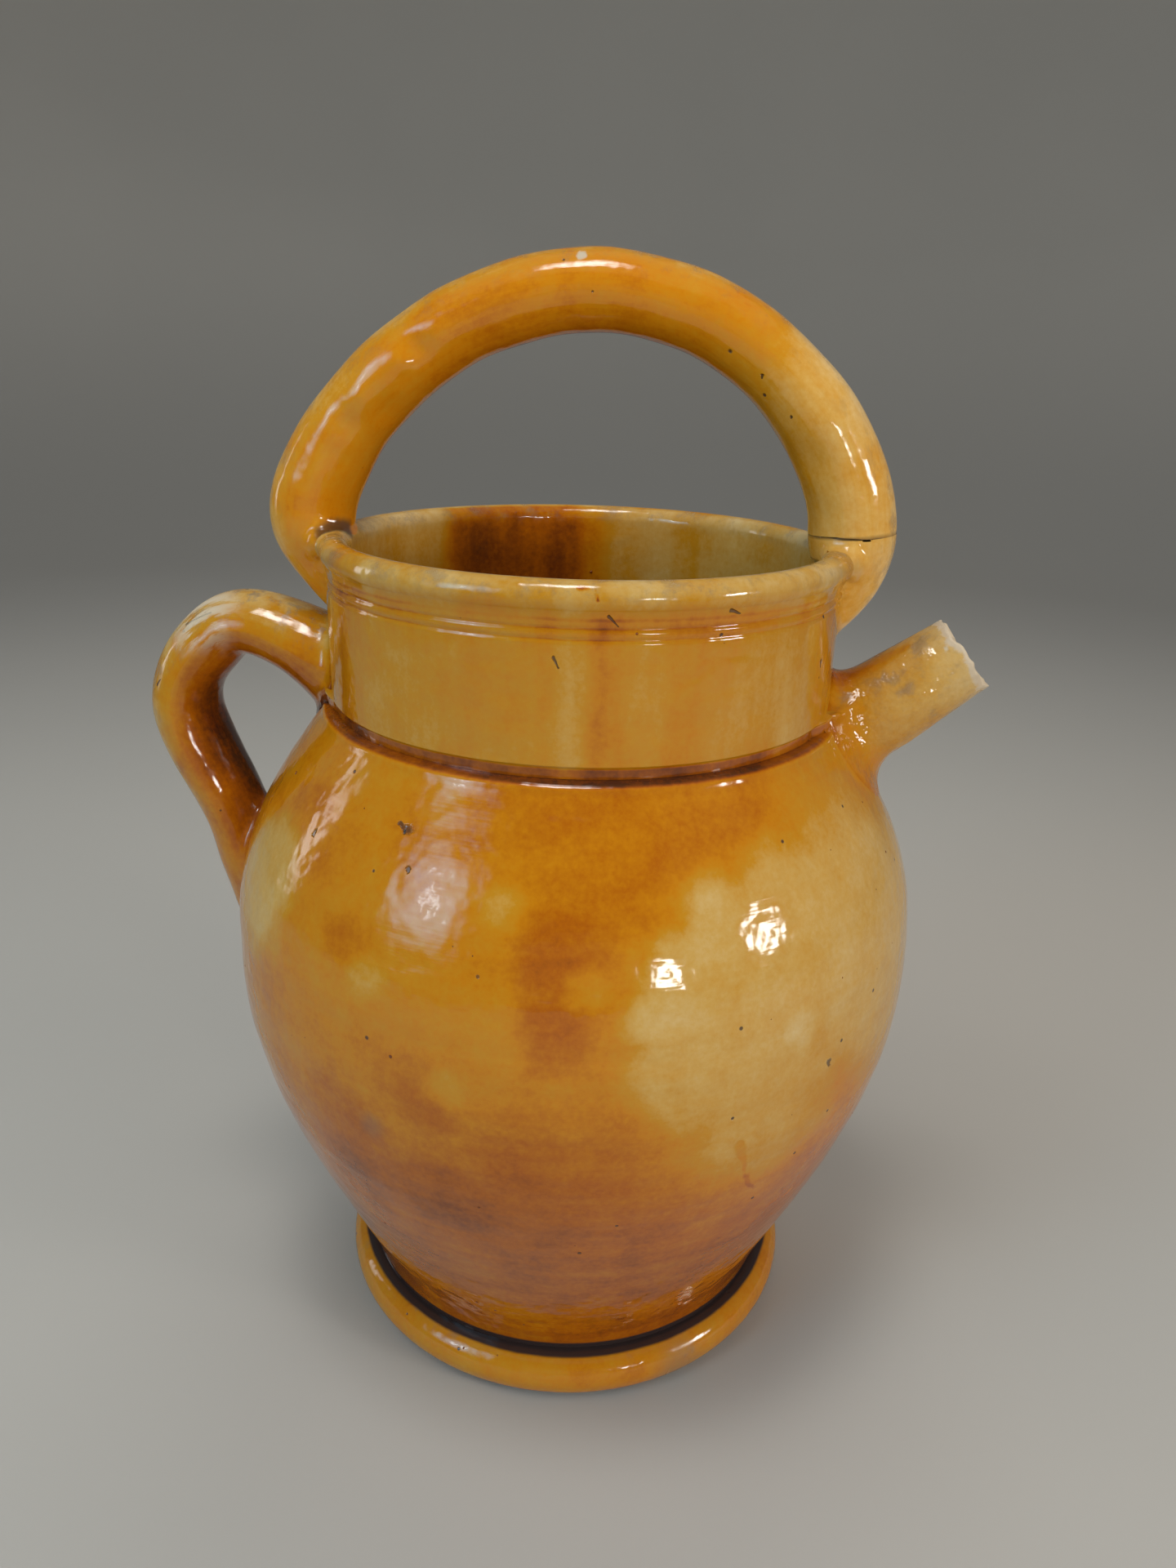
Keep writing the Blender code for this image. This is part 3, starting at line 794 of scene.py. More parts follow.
def foot_outline():
    turn = np.linspace(-np.pi / 2, np.pi / 2, RING_ROWS)
    half = FOOT_HEIGHT / 2
    bulge = np.cos(turn) ** 0.9
    inner = STEM_RADIUS - SEAM_OVERLAP
    back = np.linspace(FOOT_HEIGHT, 0, 8)
    return strung((inner + (FOOT_RADIUS - inner) * bulge, 0.5, half + half * np.sin(turn)), (inner, 0, back))


foot_mesh = throw("rolled_foot", foot_outline(), foot_glaze(), WHEEL_STEPS, *RING_FINGERS)
dress("rolled_foot", foot_mesh, "foot_ring")

# %% [markdown]
# ## Luting a handle on
#
# A pulled handle is a tapering roll of clay. Where it is stuck on, the potter smears its end out over the
# body with a wet thumb, so it meets the wall in a hollow curve and never in a hard corner. Here a handle
# is rings of points along its path. Each point knows how far it is from the body's skin; nearer than the
# thumb's radius, it slides out along the skin by a quarter circle. What would end up inside the wall is
# brought back to just under the skin.

# %% Distance from the body
TUCK = 1.0 * MM
LEAN_STEP = 0.5 * MM
PROBE_STEP = 0.2 * MM
CORNER = 6.5 * MM
FAR = 1.0


def unit(vectors):
    """The same directions, each with length 1."""
    return vectors / np.maximum(np.linalg.norm(vectors, axis=-1, keepdims=True), 1e-12)


def rounded_min(first, second, reach):
    """The smaller of two distances, rounded off where they are nearly the same."""
    share = np.clip(0.5 + 0.5 * (second - first) / reach, 0, 1)
    return second + (first - second) * share - reach * share * (1 - share)


def clay_distance(radius, height, plugged):
    """How far points stand off the body. Plugged counts the bore below the rim as solid clay."""
    lean = (belly_radius(height + LEAN_STEP) - belly_radius(height - LEAN_STEP)) / (2 * LEAN_STEP)
    belly_gap = (radius - belly_radius(height)) / np.sqrt(1 + lean ** 2)
    belly_gap = np.maximum(belly_gap, height - SHOULDER_HEIGHT)
    rim_gap = np.hypot(radius - RIM_MIDDLE, height - RIM_CENTRE) - RIM_HALF
    if plugged:
        neck_gap = np.where(height < RIM_CENTRE, radius - NECK_RADIUS, FAR)
    else:
        neck_gap = np.maximum(radius - NECK_RADIUS, NECK_INSIDE - radius)
        neck_gap = np.maximum(neck_gap, height - RIM_CENTRE)
    return np.minimum(rounded_min(belly_gap, neck_gap, CORNER), rim_gap)


def stand_off(points, plugged):
    """The distance and the outward direction of the body's skin at points."""
    step = PROBE_STEP
    radius = np.hypot(points[..., 0], points[..., 1])
    height = points[..., 2]
    gap = clay_distance(radius, height, plugged)
    outward = clay_distance(radius + step, height, plugged) - clay_distance(radius - step, height, plugged)
    upward = clay_distance(radius, height + step, plugged) - clay_distance(radius, height - step, plugged)
    safe = np.maximum(radius, 1e-6)
    normal = np.stack([outward * points[..., 0] / safe, outward * points[..., 1] / safe, upward], axis=-1)
    return gap, unit(normal)


def lute(rings, centres, thumb):
    """Smears rings of points out on to the body with the thumb's radius."""
    gap, normal = stand_off(rings, False)
    away = rings - centres[:, None, :]
    reach = np.linalg.norm(away, axis=-1, keepdims=True)
    away = away - normal * (away * normal).sum(-1, keepdims=True)
    sideways = np.linalg.norm(away, axis=-1, keepdims=True)
    away *= np.clip(3 * sideways / reach, 0, 1) / np.maximum(sideways, 1e-6)
    near = np.clip(thumb - gap, 0, thumb)
    rings = rings + away * (thumb - np.sqrt(np.maximum(thumb ** 2 - near ** 2, 0)))[..., None]
    for _ in range(4):
        gap, normal = stand_off(rings, True)
        rings = rings - normal * np.minimum(gap + TUCK, 0)[..., None]
    return rings


probe = np.array([[0.0, -(BELLY_RADIUS + 5 * MM), BELLY_HEIGHT]])
print("a point 5 mm off the belly reads", stand_off(probe, True)[0])

# %% [markdown]
# ## Pulling a handle
#
# The path of a handle is a flat curve with a thickness at each point. The rings round it aren't perfect:
# wet hands leave slow swellings and a few dents. The straightened place of each point, its spot in the
# cross-section and its distance along, is stored with the mesh, so that streaks can follow the pull.

# %% Rings along a path
def even_path(points, count):
    """The same (x, z, thickness) path with evenly spaced points."""
    points = np.asarray(points)
    steps = np.linalg.norm(np.diff(points[:, :2], axis=0), axis=1)
    along = np.concatenate([[0], np.cumsum(steps)])
    wanted = np.linspace(0, along[-1], count)
    return np.stack([np.interp(wanted, along, column) for column in points.T], axis=1), wanted


def pull(path, count, columns, breadth, ridge=1.0, swell_mm=0.25, seed=1):
    """Rings of points, their centres and their straightened places."""
    path, along = even_path(path, count)
    heading = unit(np.gradient(path[:, :2], axis=0))
    centres = np.stack([path[:, 0], np.zeros(count), path[:, 1]], axis=1)
    side = np.stack([-heading[:, 1], np.zeros(count), heading[:, 0]], axis=1)
    turn = np.linspace(0, math.tau, columns, endpoint=False)
    reach = np.sign(np.cos(turn)) * np.abs(np.cos(turn)) ** ridge
    width = np.sin(turn) * np.reshape(breadth, (-1, 1))
    rough = np.random.default_rng(seed)
    swell = np.zeros((count, columns))
    for wave in range(1, 6):
        phase = rough.uniform(0, math.tau, 2)
        length = (0.06 + 0.03 * rough.uniform()) / wave
        swell += np.sin(along[:, None] / length * math.tau + phase[0] + np.sin(turn + phase[1])) / wave
    half = path[:, 2, None] / 2 + swell * swell_mm * MM / 2
    across = np.stack([half * reach, half * width], axis=-1)
    rings = centres[:, None, :] + side[:, None, :] * across[..., :1]
    rings[..., 1] += across[..., 1]
    grain = np.concatenate([across, np.broadcast_to(along[:, None, None], across.shape[:2] + (1,))], axis=-1)
    return rings, centres, grain


def ring_normals(rings):
    """Outward directions of a roll of rings, as if it had no ends."""
    along = np.gradient(rings, axis=0)
    around = np.roll(rings, -1, axis=1) - np.roll(rings, 1, axis=1)
    return unit(np.cross(along, around))


def skin(name, rings, paint, glaze):
    """A closed mesh over rings of points, with painted attributes and smooth faces."""
    count, columns = rings.shape[:2]
    index = np.arange(count * columns).reshape(count, columns)
    nexts = np.roll(index, -1, axis=1)
    quads = np.stack([index[:-1], nexts[:-1], nexts[1:], index[1:]], axis=-1).reshape(-1, 4)
    faces = quads.tolist() + [index[0][::-1].tolist(), index[-1].tolist()]
    mesh = bpy.data.meshes.new(name)
    mesh.from_pydata(rings.reshape(-1, 3).tolist(), [], faces)
    work = bmesh.new()
    work.from_mesh(mesh)
    bmesh.ops.recalc_face_normals(work, faces=work.faces)
    work.to_mesh(mesh)
    work.free()
    mesh.shade_smooth()
    for cap in mesh.polygons[-2:]:
        cap.use_smooth = False
    ends = set(index[0].tolist()) | set(index[-1].tolist())
    for edge in mesh.edges:
        edge.use_edge_sharp = edge.vertices[0] in ends and edge.vertices[1] in ends
    mesh.materials.append(glaze)
    for label, values in paint.items():
        values = np.asarray(values, dtype=np.float32)
        kind = "FLOAT_VECTOR" if values.ndim == 3 else "FLOAT"
        stored = mesh.attributes.new(label, kind, "POINT")
        stored.data.foreach_set("vector" if values.ndim == 3 else "value", values.ravel())
    return mesh


def crease_of(rings, plugged=True, width_mm=1.0):
    """1 where a handle meets the body, fading out within the width."""
    gap = stand_off(rings, plugged)[0]
    return np.clip(1 - gap / (width_mm * MM), 0, 1) ** 2


test_roll = pull([(0, 0, 10 * MM), (20 * MM, 0, 10 * MM)], 5, 8, 1.0)[0]
print("a short test roll has rings and points:", test_roll.shape[:2])

# %% [markdown]
# ## The basket handle
#
# The basket handle arches over the mouth from one side of the rim to the other, thicker at its feet.
# Its glaze is amber with fine streaks along the pull and deep orange under the crown, with pinholes where
# the clay gave off steam. The left leg carries dents of the potter's fingers, and the right foot has a
# hair crack along the rim. The left foot is smeared right down on to the wad, so no joint shows there.

# %% Mix the handles' glaze
CROWN_RISE = (243 * MM, 262 * MM)
RIGHT_LEG = (26 * MM, 60 * MM)
EAR_TAIL = (168 * MM, 140 * MM)
CROWN_CHIP = millimetres(-2.0, -7.1, 269.2)
EAR_SCUFF = millimetres(-94.0, -6.5, 186.5)
BAIL_PITS = [
    ((31.2, -9.7, 250.2), (31.0, -9.7, 249.4), 0.5), ((38.6, -9.9, 245.6), (38.5, -9.9, 245.0), 0.42),
    ((0.9, -10.7, 261.4), (1.0, -10.7, 260.8), 0.32), ((-5.8, -7.9, 267.8), (-5.7, -7.9, 267.4), 0.3),
    ((45.6, -9.8, 237.0), (45.5, -9.8, 236.5), 0.35), ((-30.0, -11.2, 252.0), (-30.2, -11.2, 251.5), 0.35),
]
EAR_SCRATCHES = [
    ((-98.2, -6.2, 183.3), (-91.1, -7.7, 187.0), 0.30), ((-95.4, -6.0, 184.6), (-92.8, -6.8, 186.8), 0.20),
    ((-106.5, -8.1, 168.1), (-105.2, -8.8, 169.6), 0.40), ((-84.0, -8.0, 189.0), (-82.8, -8.0, 189.2), 0.40),
    ((-104.6, -8.0, 160.0), (-104.2, -8.2, 158.8), 0.35),
]


def handle_glaze(name, base, under, worn_grime, pits, rubbed=0.20, painted_light_tint=None):
    """Streaks follow the pull; rubbed places are paler and dirty."""
    material, place = start_glaze(name)
    pulled = place.node("ShaderNodeAttribute", {"attribute_name": "pulled"}, {}, 1)
    streaks = noise(pulled, 520.0, 4.0, 0.65, (1, 1, 0.035)) - 0.5
    cloud = noise(place, 38.0, 3.0) - 0.5
    worn = painted(place, "worn")
    patchy = worn * soft_step(noise(place, 95.0, 4.0, 0.65), 0.36, 0.60)
    depth = base + 0.22 * streaks + 0.42 * cloud - rubbed * patchy - 0.12 * worn
    # Painted shade: the side turned in, under the arch and inside the bend, is made darker.
    depth = depth + under * painted(place, "under") + 0.35 * painted(place, "crease")
    high = along_axis(place, 2)
    depth = depth + 0.12 * soft_step(high, *CROWN_RISE) - 0.22 * soft_step(along_axis(place, 0), *RIGHT_LEG)
    depth = depth + 0.12 * soft_step(high, *EAR_TAIL)
    holes = pinholes(place, 62.0, 0.040, 0.18)
    scars = strokes(frayed(place, 0.4), pits)
    chip = dab(wander(place, 260.0, 1.6), CROWN_CHIP, 1.3, 0.3)
    chalky = soft_step(noise(pulled, 260.0, 4.0, 0.7, (1, 1, 0.3)), 0.40, 0.58)
    chip = chip + 0.95 * chalky * dab(wander(place, 90.0, 3.0), EAR_SCUFF, 8.0, 0.6)
    dirt = soft_step(noise(place, 240.0, 5.0, 0.7, (1, 1, 0.5)), 0.50, 0.66)
    # A grey smudge with painted shade by the right foot of the handle.
    smear = dab(wander(place, 120.0, 2.0), RIGHT_FOOT_SMUDGE_AND_SHADE, 6.0, 0.6)
    pool = 0.9 * holes + 0.85 * scars + foot_shadow(place) + 0.7 * painted(place, "split")
    relief = 0.05 * streaks - 0.3 * holes - 0.3 * scars
    grime = worn_grime * worn * dirt + 0.25 * smear
    return finish_glaze(material, place, depth, relief, grime, chip, pool, painted_light_tint)


print("marks on the handles:", len(BAIL_PITS) + len(EAR_SCRATCHES))

# %% Lay out the basket handle
BAIL_RISE = 53.8 * MM
BAIL_LEAD = 2.0 * MM
BAIL_STANDOFF = 3.8 * MM
BAIL_SHIFT = -1.8 * MM
BAIL_LEAN = 3.6 * MM
ARCH_FULLNESS = 1.53
BAIL_CROWN = 17.4 * MM
BAIL_FOOT = 20.5 * MM
BAIL_BREADTH = 21.0 / 17.4
JOINT_GAP = 0.3 * MM
DENTS = [
    ((-37.7, -11.0, 249.2), 1.0, 3.2), ((-41.5, -11.0, 246.0), -0.5, 2.6), ((-54.0, -11.1, 232.3), 0.9, 3.6),
    ((-46.0, -8.9, 236.0), 0.7, 4.0), ((-50.5, -10.0, 238.5), -0.4, 3.0), ((-57.5, -10.5, 226.0), 0.5, 4.0),
    ((52.0, -10.0, 228.0), 0.6, 5.0), ((20.0, -9.0, 262.0), 0.4, 6.0),
]


def bail_foot_x(side):
    return side * (NECK_RADIUS + BAIL_STANDOFF) + BAIL_SHIFT


def bail_arch():
    """(x, z, thickness) from the left foot over the crown to the right foot."""
    angle = np.linspace(np.pi, 0, 800)
    across = np.cos(angle)
    lift = np.abs(np.sin(angle)) ** (2 / ARCH_FULLNESS)
    x = BAIL_SHIFT + (NECK_RADIUS + BAIL_STANDOFF) * across + BAIL_LEAN * lift
    z = RIM_HEIGHT + JOINT_GAP + BAIL_LEAD + (BAIL_RISE - BAIL_LEAD) * lift
    return np.stack([x, z, BAIL_FOOT + (BAIL_CROWN - BAIL_FOOT) * lift], axis=1)


def press_dents(rings, centres, dents):
    """Finger dents at (place, depth, reach) in millimetres; a negative depth is a bump."""
    inward = unit(centres[:, None, :] - rings)
    for place, depth, reach in dents:
        apart = np.linalg.norm(rings - np.array(millimetres(*place)), axis=-1)
        rings = rings + inward * (depth * MM * np.exp(-(apart / (reach * MM)) ** 2))[..., None]
    return rings


def smooth_knots(knots, steps=60):
    """A Catmull-Rom curve through knots."""
    knots = [np.asarray(knot, dtype=float) for knot in knots]
    ends = [knots[0] * 2 - knots[1]] + knots + [knots[-1] * 2 - knots[-2]]
    points = []
    for before, start, end, after in zip(ends, ends[1:], ends[2:], ends[3:]):
        for t in spaced(0, 1, steps):
            bend = (before * 2 - start * 5 + end * 4 - after) * (t * t / 2)
            twist = (start * 3 - before - end * 3 + after) * (t ** 3 / 2)
            points.append(start + (end - before) * (t / 2) + bend + twist)
    return np.array(points + [knots[-1]])


print("the arch rises to", round(float(bail_arch()[:, 1].max()), 4))

# %% [markdown]
# ## The wads
#
# Under each foot of the basket handle a wad of clay leans against the collar and tapers away downwards.
# It takes the handle's section at the rim and is thumbed on to the collar on all sides. Handle and wads
# are pulled as one long roll and then parted at the rim, so on the left no joint can be seen.

# %% Part the handle from its wads
ROOT_TIP = 8.0 * MM
ROOT_STANDOFF = 2.7 * MM
ROOT_BURY = 2.0 * MM
ROOT_TIP_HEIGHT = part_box("handle_root_right")[0].z + ROOT_TIP / 2
ROLL_RINGS = 460
ROLL_COLUMNS = 72
CRACK_HEIGHT = RIM_HEIGHT + 2.6 * MM
INNER_THUMB = 1.2 * MM
OUTER_THUMB = 1.8 * MM
WAD_THUMB = 5.0 * MM
TIP_BURY = 10.0 * MM
TIP_DROP = 3.0 * MM
BEAD = 5.0 * MM
BEAD_SKIRT = 4.0 * MM
RIM_SHOULDER = 1.0 * MM
FLAT_START = 3.0 * MM
FLAT_REACH = 24.0 * MM
SAG_REACH = 9.0 * MM
OUTER_REACH = 5.0 * MM
TIP_REACH = 14.0 * MM
BEND_REACH = 22
CRACK_WAVE = 0.08 * MM
# The basket handle's colour is lifted as painted light, for light falling on it from the front.
BAIL_PAINTED_LIGHT = (1.24, 1.18, 1.10)
BAIL_LOOK = {"base": 0.48, "under": 0.04, "worn_grime": 0.6, "pits": BAIL_PITS, "painted_light_tint": BAIL_PAINTED_LIGHT}
roll_normals = {}


def wad_path(side):
    """(x, z, thickness) from the rim down to the wad's tip."""
    top = side * bail_foot_x(side)
    lead_z = RIM_HEIGHT - BAIL_LEAD
    middle_z = (lead_z + ROOT_TIP_HEIGHT) / 2
    tip_z = ROOT_TIP_HEIGHT - TIP_DROP
    knots = [
        (top, lead_z, BAIL_FOOT),
        (NECK_RADIUS + ROOT_STANDOFF, middle_z, (BAIL_FOOT + ROOT_TIP) / 2),
        (NECK_RADIUS - ROOT_BURY, tip_z, ROOT_TIP),
        (NECK_RADIUS - TIP_BURY, tip_z - ROOT_TIP, ROOT_TIP / 2),
    ]
    return smooth_knots(knots) * np.array([side, 1, 1])


def soften(path, reach):
    """Rounds the sharpest bends of a path by averaging neighbours; its ends stay."""
    weights = np.exp(-np.linspace(-2, 2, 2 * reach + 1) ** 2)
    padded = np.concatenate([np.repeat(path[:1], reach, 0), path, np.repeat(path[-1:], reach, 0)])
    return np.stack([np.convolve(column, weights / weights.sum(), "valid") for column in padded.T], axis=1)


def bead(apart, points):
    """How far clay is smeared up on the outer side of the rim, that far from the handle's seam."""
    share = 1 - climb(apart, BEAD / 4, 0.75 * BEAD)
    above = climb(points[..., 2], RIM_HEIGHT - 2 * RIM_DEPTH, BEAD_SKIRT)
    outer = climb(np.hypot(points[..., 0], points[..., 1]), RIM_MIDDLE + RIM_SHOULDER, RIM_HALF)
    return (BEAD / 4 * share ** 2 * above * outer)[..., None]


def lute_roll(rings, centres):
    """Smears the roll on to the rim and the collar, most of all on the outer side of the wads."""
    sag = climb(RIM_HEIGHT + FLAT_START - rings[..., 2], 0, SAG_REACH)
    outer = climb(np.hypot(rings[..., 0], rings[..., 1]), RIM_MIDDLE, OUTER_REACH)
    lower = climb(rings[..., 2], ROOT_TIP_HEIGHT, TIP_REACH)
    sag = sag ** 2 * (3 - 2 * sag)
    rings = lute(rings, centres, INNER_THUMB + outer * (OUTER_THUMB + WAD_THUMB * sag * lower))
    gap = stand_off(rings, False)[0]
    shown = np.clip(1 + gap / TUCK, 0, 1)[..., None]
    return rings + unit(rings - centres[:, None, :]) * shown * bead(np.abs(gap), rings)


def pull_bail():
    """The meshes of the left wad, the basket handle and the right wad."""
    path = np.concatenate([wad_path(-1)[::-1], bail_arch(), wad_path(1)])
    path = soften(even_path(path, ROLL_RINGS)[0], BEND_REACH)
    breadth = 1 + (BAIL_BREADTH - 1) * climb(path[:, 1], RIM_HEIGHT + FLAT_START, FLAT_REACH)
    rings, centres, grain = pull(path, ROLL_RINGS, ROLL_COLUMNS, breadth, swell_mm=0.35, seed=4)
    rings = lute_roll(press_dents(rings, centres, DENTS), centres)
    normals = ring_normals(rings)
    first = np.nonzero(centres[:, 2] > RIM_HEIGHT)[0][0]
    last = np.nonzero(centres[:, 2] > CRACK_HEIGHT)[0][-1]
    arm = unit(centres - np.array([BAIL_SHIFT, 0, RIM_HEIGHT]))[:, None, :]
    facing = (unit(rings - centres[:, None, :]) * arm).sum(-1)
    around = np.linspace(0, math.tau, ROLL_COLUMNS, endpoint=False)
    crack = CRACK_HEIGHT + CRACK_WAVE * (np.sin(5 * around) + np.sin(11 * around + 1))
    stretches = {"wad_left": slice(0, first + 1), "pulled_bail": slice(first, last + 1)}
    stretches["wad_right"] = slice(last, ROLL_RINGS)
    meshes = []
    for name, rows in stretches.items():
        piece = rings[rows].copy()
        split = np.zeros(piece.shape[:2])
        if name == "wad_right":
            piece[0, :, 2] = crack - JOINT_GAP / 2
            split[0] = 1
        elif name == "pulled_bail":
            piece[-1, :, 2] = crack + JOINT_GAP
            split[-1] = 1
        paint = {"pulled": grain[rows], "worn": np.clip(facing[rows], 0, 1) ** 2, "split": split}
        # Painted shade on the side of the arch turned in.
        paint["under"] = np.clip(-facing[rows], 0, 1)
        meshes.append(skin(name, piece, paint, handle_glaze(name + "_glaze", **BAIL_LOOK)))
        roll_normals[name] = normals[rows].reshape(-1, 3)
    return meshes


wad_left_mesh, bail_mesh, wad_right_mesh = pull_bail()
print("one roll of", ROLL_RINGS, "rings, parted into", list(roll_normals))

# %% Smear the rim up to the handle
def points_of(*meshes):
    """The places of all points of some meshes."""
    places = [np.empty(len(mesh.vertices) * 3, dtype=np.float32) for mesh in meshes]
    for mesh, place in zip(meshes, places):
        mesh.vertices.foreach_get("co", place)
    return np.concatenate(places).reshape(-1, 3)


def move_points(mesh, points):
    """Puts all points of a mesh in new places."""
    mesh.vertices.foreach_set("co", points.astype(np.float32).ravel())
    mesh.update()


def nearest(points, spots, reach):
    """Distance to the nearest spot and its number, for points within reach; far away otherwise."""
    tree = KDTree(len(spots))
    for number, spot in enumerate(spots):
        tree.insert(spot, number)
    tree.balance()
    apart = np.full(len(points), FAR)
    number = np.zeros(len(points), dtype=int)
    close = np.all((points > spots.min(0) - reach) & (points < spots.max(0) + reach), axis=1)
    for row in np.nonzero(close)[0]:
        _, number[row], apart[row] = tree.find(points[row])
    return apart, number


def shown_points(mesh):
    """The numbers of a limb's points that aren't buried in the body."""
    return np.nonzero(stand_off(points_of(mesh), False)[0] > -TUCK / 4)[0]


def raise_bead(body, limbs):
    """Smears the rim up towards the handle, as far as the handle is smeared out to it."""
    points = points_of(body)
    apart = np.full(len(points), FAR)
    for limb in limbs:
        apart = np.minimum(apart, nearest(points, points_of(limb)[shown_points(limb)], BEAD)[0])
    points = points + stand_off(points, False)[1] * bead(apart, points)
    move_points(body, points)
    return int((apart < BEAD).sum())


print("points smeared up:", raise_bead(collar_mesh, [wad_left_mesh, bail_mesh, wad_right_mesh]))
dress("pulled_bail", bail_mesh, "basket_handle")
dress("wad_left", wad_left_mesh, "handle_root_left")
dress("wad_right", wad_right_mesh, "handle_root_right")

# %% [markdown]
# ## The side handle
#
# The side handle leaves the collar just over the groove, turns down in a tight bend and dies into the
# belly in a long tail. Its back is rubbed pale and scratched from being held; inside the bend it is
# painted red-brown as painted shade. It is pulled and luted the same way, with a section that has a
# slight ridge.

# %% Pull the side handle
EAR_RINGS = 260
EAR = 16.8 * MM
EAR_BREADTH = 22.0 / 16.8
EAR_RIDGE = 1.3
EAR_THUMB = 2.5 * MM
TAIL_THUMB = 4.0 * MM
FLARE = 7.0 * MM
FLARE_REACH = 15.0 * MM
ROOT_SHARE = 0.25
EAR_MIDDLE = (4.0 * MM - BELLY_RADIUS, 0.0, SHOULDER_HEIGHT - 12.0 * MM)
EAR_LOOK = {"base": 0.53, "under": 0.36, "worn_grime": 0.75, "pits": EAR_SCRATCHES, "rubbed": 0.34}


def ear_knots():
    """Knots as (distance from the axis, height, thickness)."""
    landing, tail, tip = (SHOULDER_HEIGHT - drop * MM for drop in (35.2, 63.2, 75.2))
    return [
        (NECK_RADIUS - 6.0 * MM, SHOULDER_HEIGHT + 4.0 * MM, 21.2 * MM),
        (NECK_RADIUS + 20.6 * MM, SHOULDER_HEIGHT + 15.4 * MM, EAR),
        (BELLY_RADIUS + 8.4 * MM, SHOULDER_HEIGHT + 9.2 * MM, EAR),
        (BELLY_RADIUS + 15.4 * MM, SHOULDER_HEIGHT - 7.5 * MM, EAR),
        (float(belly_radius(landing)) + 8.4 * MM, landing, EAR),
        (float(belly_radius(tail)) - 1.9 * MM, tail, 15.0 * MM),
        (float(belly_radius(tip)) - 5.0 * MM, tip, 10.0 * MM),
    ]


def make_ear():
    path = smooth_knots(ear_knots())
    path[:, 0] *= -1
    rings, centres, grain = pull(path, EAR_RINGS, ROLL_COLUMNS, EAR_BREADTH, EAR_RIDGE, 0.4, seed=12)
    arm = unit(centres - np.array(EAR_MIDDLE))
    facing = ((rings - centres[:, None, :]) * arm[:, None, :]).sum(-1) / (EAR / 2)
    share = np.linspace(0, 1, len(centres))[:, None]
    near = np.clip(1 - (np.hypot(rings[..., 0], rings[..., 1]) - NECK_RADIUS) / FLARE_REACH, 0, 1) ** 2
    below = np.clip((centres[:, None, :] - rings)[..., 2] / (EAR / 2), 0, 1)
    rings[..., 2] -= FLARE * near * below * (share < ROOT_SHARE)
    rings = lute(rings, centres, EAR_THUMB + (TAIL_THUMB - EAR_THUMB) * share)
    # Painted shade on the side of the bend turned in.
    paint = {"pulled": grain, "worn": np.clip(facing, 0, 1), "under": np.clip(-facing, 0, 1)}
    paint["crease"] = crease_of(rings)
    return skin("pulled_ear", rings, paint, handle_glaze("ear_glaze_honey", **EAR_LOOK))


ear_mesh = make_ear()
dress("pulled_ear", ear_mesh, "side_handle")

# %% [markdown]
# ## The spout
#
# The spout is a short tapered tube that was pushed through the shoulder and smoothed on. Its tip is
# broken off, so the pale raw clay shows in a ragged edge. The rings run from the wall out to the tip,
# over the break and back down the bore; at the tip each point's length varies, as a fracture does.

# %% Mix the spout's glaze
SPOUT_SMUDGES = [
    millimetres(78.4, -10.5, 176.4), millimetres(73.7, -8.0, 178.5), millimetres(64.7, -8.2, 172.4),
    millimetres(66.0, -10.4, 176.0),
]
SPOUT_TOP = ((62.0, -3.0, 175.0), (78.0, -3.0, 186.0))


def spout_glaze():
    material, place = start_glaze("spout_glaze_buff")
    along = painted(place, "along")
    broken = painted(place, "broken")
    rough = noise(place, 260.0, 5.0, 0.7)
    depth = 0.30 + 0.34 * (noise(place, 60.0, 3.0) - 0.5) + 0.22 * soft_step(along, 0.35, 0.0)
    smudge = soft_step(noise(place, 120.0, 4.0, 0.6), 0.52, 0.68) * soft_step(along, 0.15, 0.5)
    for centre in SPOUT_SMUDGES:
        smudge = smudge + dab(wander(place, 260.0, 3.0), centre, 1.7, 0.6)
    depth = depth + 0.24 * stroke(wander(place, 120.0, 2.0), *SPOUT_TOP, 4.5, 0.8)
    ragged = soft_step(broken + 1.1 * (rough - 0.5), 0.46, 0.78)
    depth = depth - 0.16 * soft_step(along, 0.55, 1.0)
    # The bore is painted darker: painted shade inside the tube.
    bore = painted(place, "bore")
    depth = depth + 0.5 * bore + 0.3 * painted(place, "crease")
    lumps = 0.9 * noise(place, 160.0, 3.0, 0.6)
    return finish_glaze(material, place, depth, lumps + 0.35 * rough * broken, 0.55 * smudge, ragged)


print("smudges on the spout:", len(SPOUT_SMUDGES))

# %% Shape the spout
SPOUT_DROP = 5.2 * MM
SPOUT_ANGLE = math.radians(37.4)
SPOUT_LENGTH = 33.5 * MM
SPOUT_TIP = 10.0 * MM
SPOUT_ROOT = 11.5 * MM
SPOUT_TAPER = 21.5 * MM
SPOUT_BORE = 5.0 * MM
SPOUT_COLUMNS = 120
SPOUT_THUMB = 8.0 * MM
CHIPPED = 4.0 * MM
BURY = 8.0 * MM
BREAK_SPARE = 1.6 * MM
BREAK_SLANT = 0.6 * MM
BREAK_TEETH = 1.9 * MM
BREAK_SHARES = (0.12, 0.35, 0.6, 0.82, 1.0)
BREAK_HOLLOW = 0.5 * MM
PIT_DEPTH = 0.7 * MM
BORE_SHARES = (0.9, 0.6, 0.3, 0)


